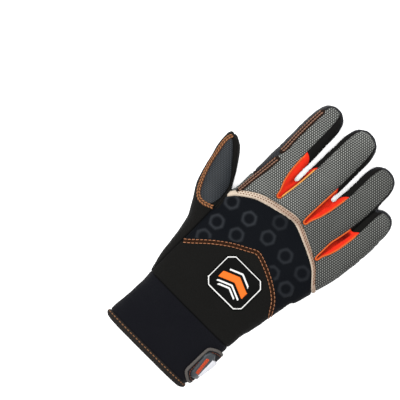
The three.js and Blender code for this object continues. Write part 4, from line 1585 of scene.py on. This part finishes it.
def swell(obj):
    # air pressure inside the pad, while the side that is sewn to the palm stays put
    start = [v.co.copy() for v in obj.data.vertices]
    toLayout = toFrame.inverted()
    sewn = obj.vertex_groups.new(name="sewn")
    away = [skinTree.find_nearest(toLayout @ co)[3] for co in start]
    sewn.add([i for i, far in enumerate(away) if far < padFill["sewn"]], 1, "ADD")
    cloth = obj.modifiers.new("fill", "CLOTH")
    cloth.settings.use_pressure = True
    cloth.settings.uniform_pressure_force = padFill["pressure"]
    cloth.settings.effector_weights.gravity = 0
    cloth.settings.vertex_group_mass = "sewn"
    for number in range(1, padFill["frames"] + 1):
        bpy.context.scene.frame_set(number)
    swollen = obj.evaluated_get(bpy.context.evaluated_depsgraph_get()).data
    moves = [v.co - co for v, co in zip(swollen.vertices, start)]
    bpy.context.scene.frame_set(1)
    obj.modifiers.clear()
    most = padFill["cap"] * mm
    for v, co, move in zip(obj.data.vertices, start, moves):
        v.co = co + move * min(1, most / max(move.length, 1e-9))
    return max(move.length for move in moves) / mm


def makePad(name, outline, book):
    inside = padInside(outline, book["inset"])
    crown = {"edge": padFill["edge"], "lift": padFill["sunk"] + book["thick"], "roll": padFill["roll"]}
    bm = liftPatch(cutPatch(inside), inside, crown)
    bmesh.ops.transform(bm, matrix=toFrame, verts=bm.verts)
    obj = newObject(name, bm)
    thicken = obj.modifiers.new("filling", "SOLIDIFY")
    thicken.thickness = book["thick"] * mm
    thicken.offset = -1
    even = obj.modifiers.new("even", "REMESH")
    even.mode = "VOXEL"
    even.voxel_size = padFill["voxel"] * mm
    settled(obj)
    moved = swell(obj)
    bm = takeMesh(obj)
    bmesh.ops.transform(bm, matrix=toFrame.inverted(), verts=bm.verts)
    bmesh.ops.subdivide_edges(bm, edges=bm.edges, cuts=1, use_grid_fill=True, smooth=padFill["roundness"])
    relax(bm)
    bm.normal_update()
    x, y, z = places([v.co for v in bm.verts])
    away = outlineDistance(outline, x, y)
    depth = sum(crease(padFill["crease"], padFill["creaseWidth"], at, away) for at in book["creases"])
    rubbedAt = book["creases"][-1] + padFill["rubbedIn"]
    worn = crease(padFill["rubbed"], padFill["rubbedWidth"], rubbedAt, away)
    shade = bm.verts.layers.float.new("shade")
    raised = bm.verts.layers.float.new("raised")
    for v, deep, pale in zip(bm.verts, depth, worn):
        # the creases are darkened with painted shade
        v[shade] = min(deep / padFill["crease"], 1)
        v[raised] = pale
        v.co -= v.normal * deep * (1 if v.normal.z < 0 else 0)
        v.co.z = max(v.co.z, -layoutOrigin.z / mm + padFill["clear"])
    pad = addPiece(name, bm, "padLeather", [book["node"]])
    print("  ", name, "swelled by", round(moved, 2), "mm")


for name, outline in padOutlines.items():
    makePad(name, outline, padBook[name])

print("setting up the studio")

# Where the photo shows the middle of the cuff's end, in its pixels, and how far away the camera is
view = {"mmPerPixel": 0.81, "cuffEndX": 146.5, "cuffEndY": 348, "shown": 400, "raised": 3, "distance": 1.7,
        "level": 0.018}
studio = {
    "floor": 3,
    "glow": 0.2,  # keeps the floor white between the fingers
    "world": 0.55,
    "floorTone": 0.93,
    "floorRough": 0.9,
    "lights": {
        "overhead": {"place": (0.0, 0.0, 2.4), "size": 0.8, "power": 62},
        "key": {"place": (-0.9, 0.5, 1.2), "size": 0.45, "power": 19},
        "side": {"place": (1.1, -0.6, 0.9), "size": 0.8, "power": 3},
    },
}


def makeCamera():
    # straight above, rolled so that the fingers point up and to the right
    half = view["shown"] / 2
    across = (half - view["cuffEndX"]) * view["mmPerPixel"] * math.sqrt(2)
    down = (half - view["cuffEndY"]) * view["mmPerPixel"] * math.sqrt(2)
    x, y = (across + down) / 2, (across - down) / 2 + view["raised"]
    data = bpy.data.cameras.new("camera")
    data.angle = 2 * math.atan(half * view["mmPerPixel"] * mm / view["distance"])
    camera = bpy.data.objects.new("camera", data)
    height = view["distance"] + view["level"]
    camera.location = (layoutOrigin.x + x * mm, layoutOrigin.y + y * mm, height)
    camera.rotation_euler = (0, 0, math.pi / 4)
    bpy.context.scene.collection.objects.link(camera)
    bpy.context.scene.camera = camera


def addLight(name, place, size, power):
    data = bpy.data.lights.new(name, "AREA")
    data.size = size
    data.energy = power
    light = bpy.data.objects.new(name, data)
    light.location = place
    light.rotation_euler = (-Vector(place)).to_track_quat("-Z", "Y").to_euler()
    bpy.context.scene.collection.objects.link(light)


def makeStudio():
    bm = bmesh.new()
    bmesh.ops.create_grid(bm, x_segments=1, y_segments=1, size=studio["floor"])
    floor = newObject("floor", bm)
    material, tree, shader = newMaterial("paleFloor")
    shader.inputs["Base Color"].default_value = (*[studio["floorTone"]] * 3, 1)
    shader.inputs["Roughness"].default_value = studio["floorRough"]
    shader.inputs["Emission Color"].default_value = (1, 1, 1, 1)
    shader.inputs["Emission Strength"].default_value = studio["glow"]
    floor.data.materials.append(material)
    world = bpy.data.worlds.new("studio")
    world.use_nodes = True
    world.node_tree.nodes["Background"].inputs[0].default_value = (1, 1, 1, 1)
    world.node_tree.nodes["Background"].inputs[1].default_value = studio["world"]
    bpy.context.scene.view_settings.view_transform = "Standard"
    bpy.context.scene.world = world
    for name, light in studio["lights"].items():
        addLight(name, **light)


makeCamera()
makeStudio()
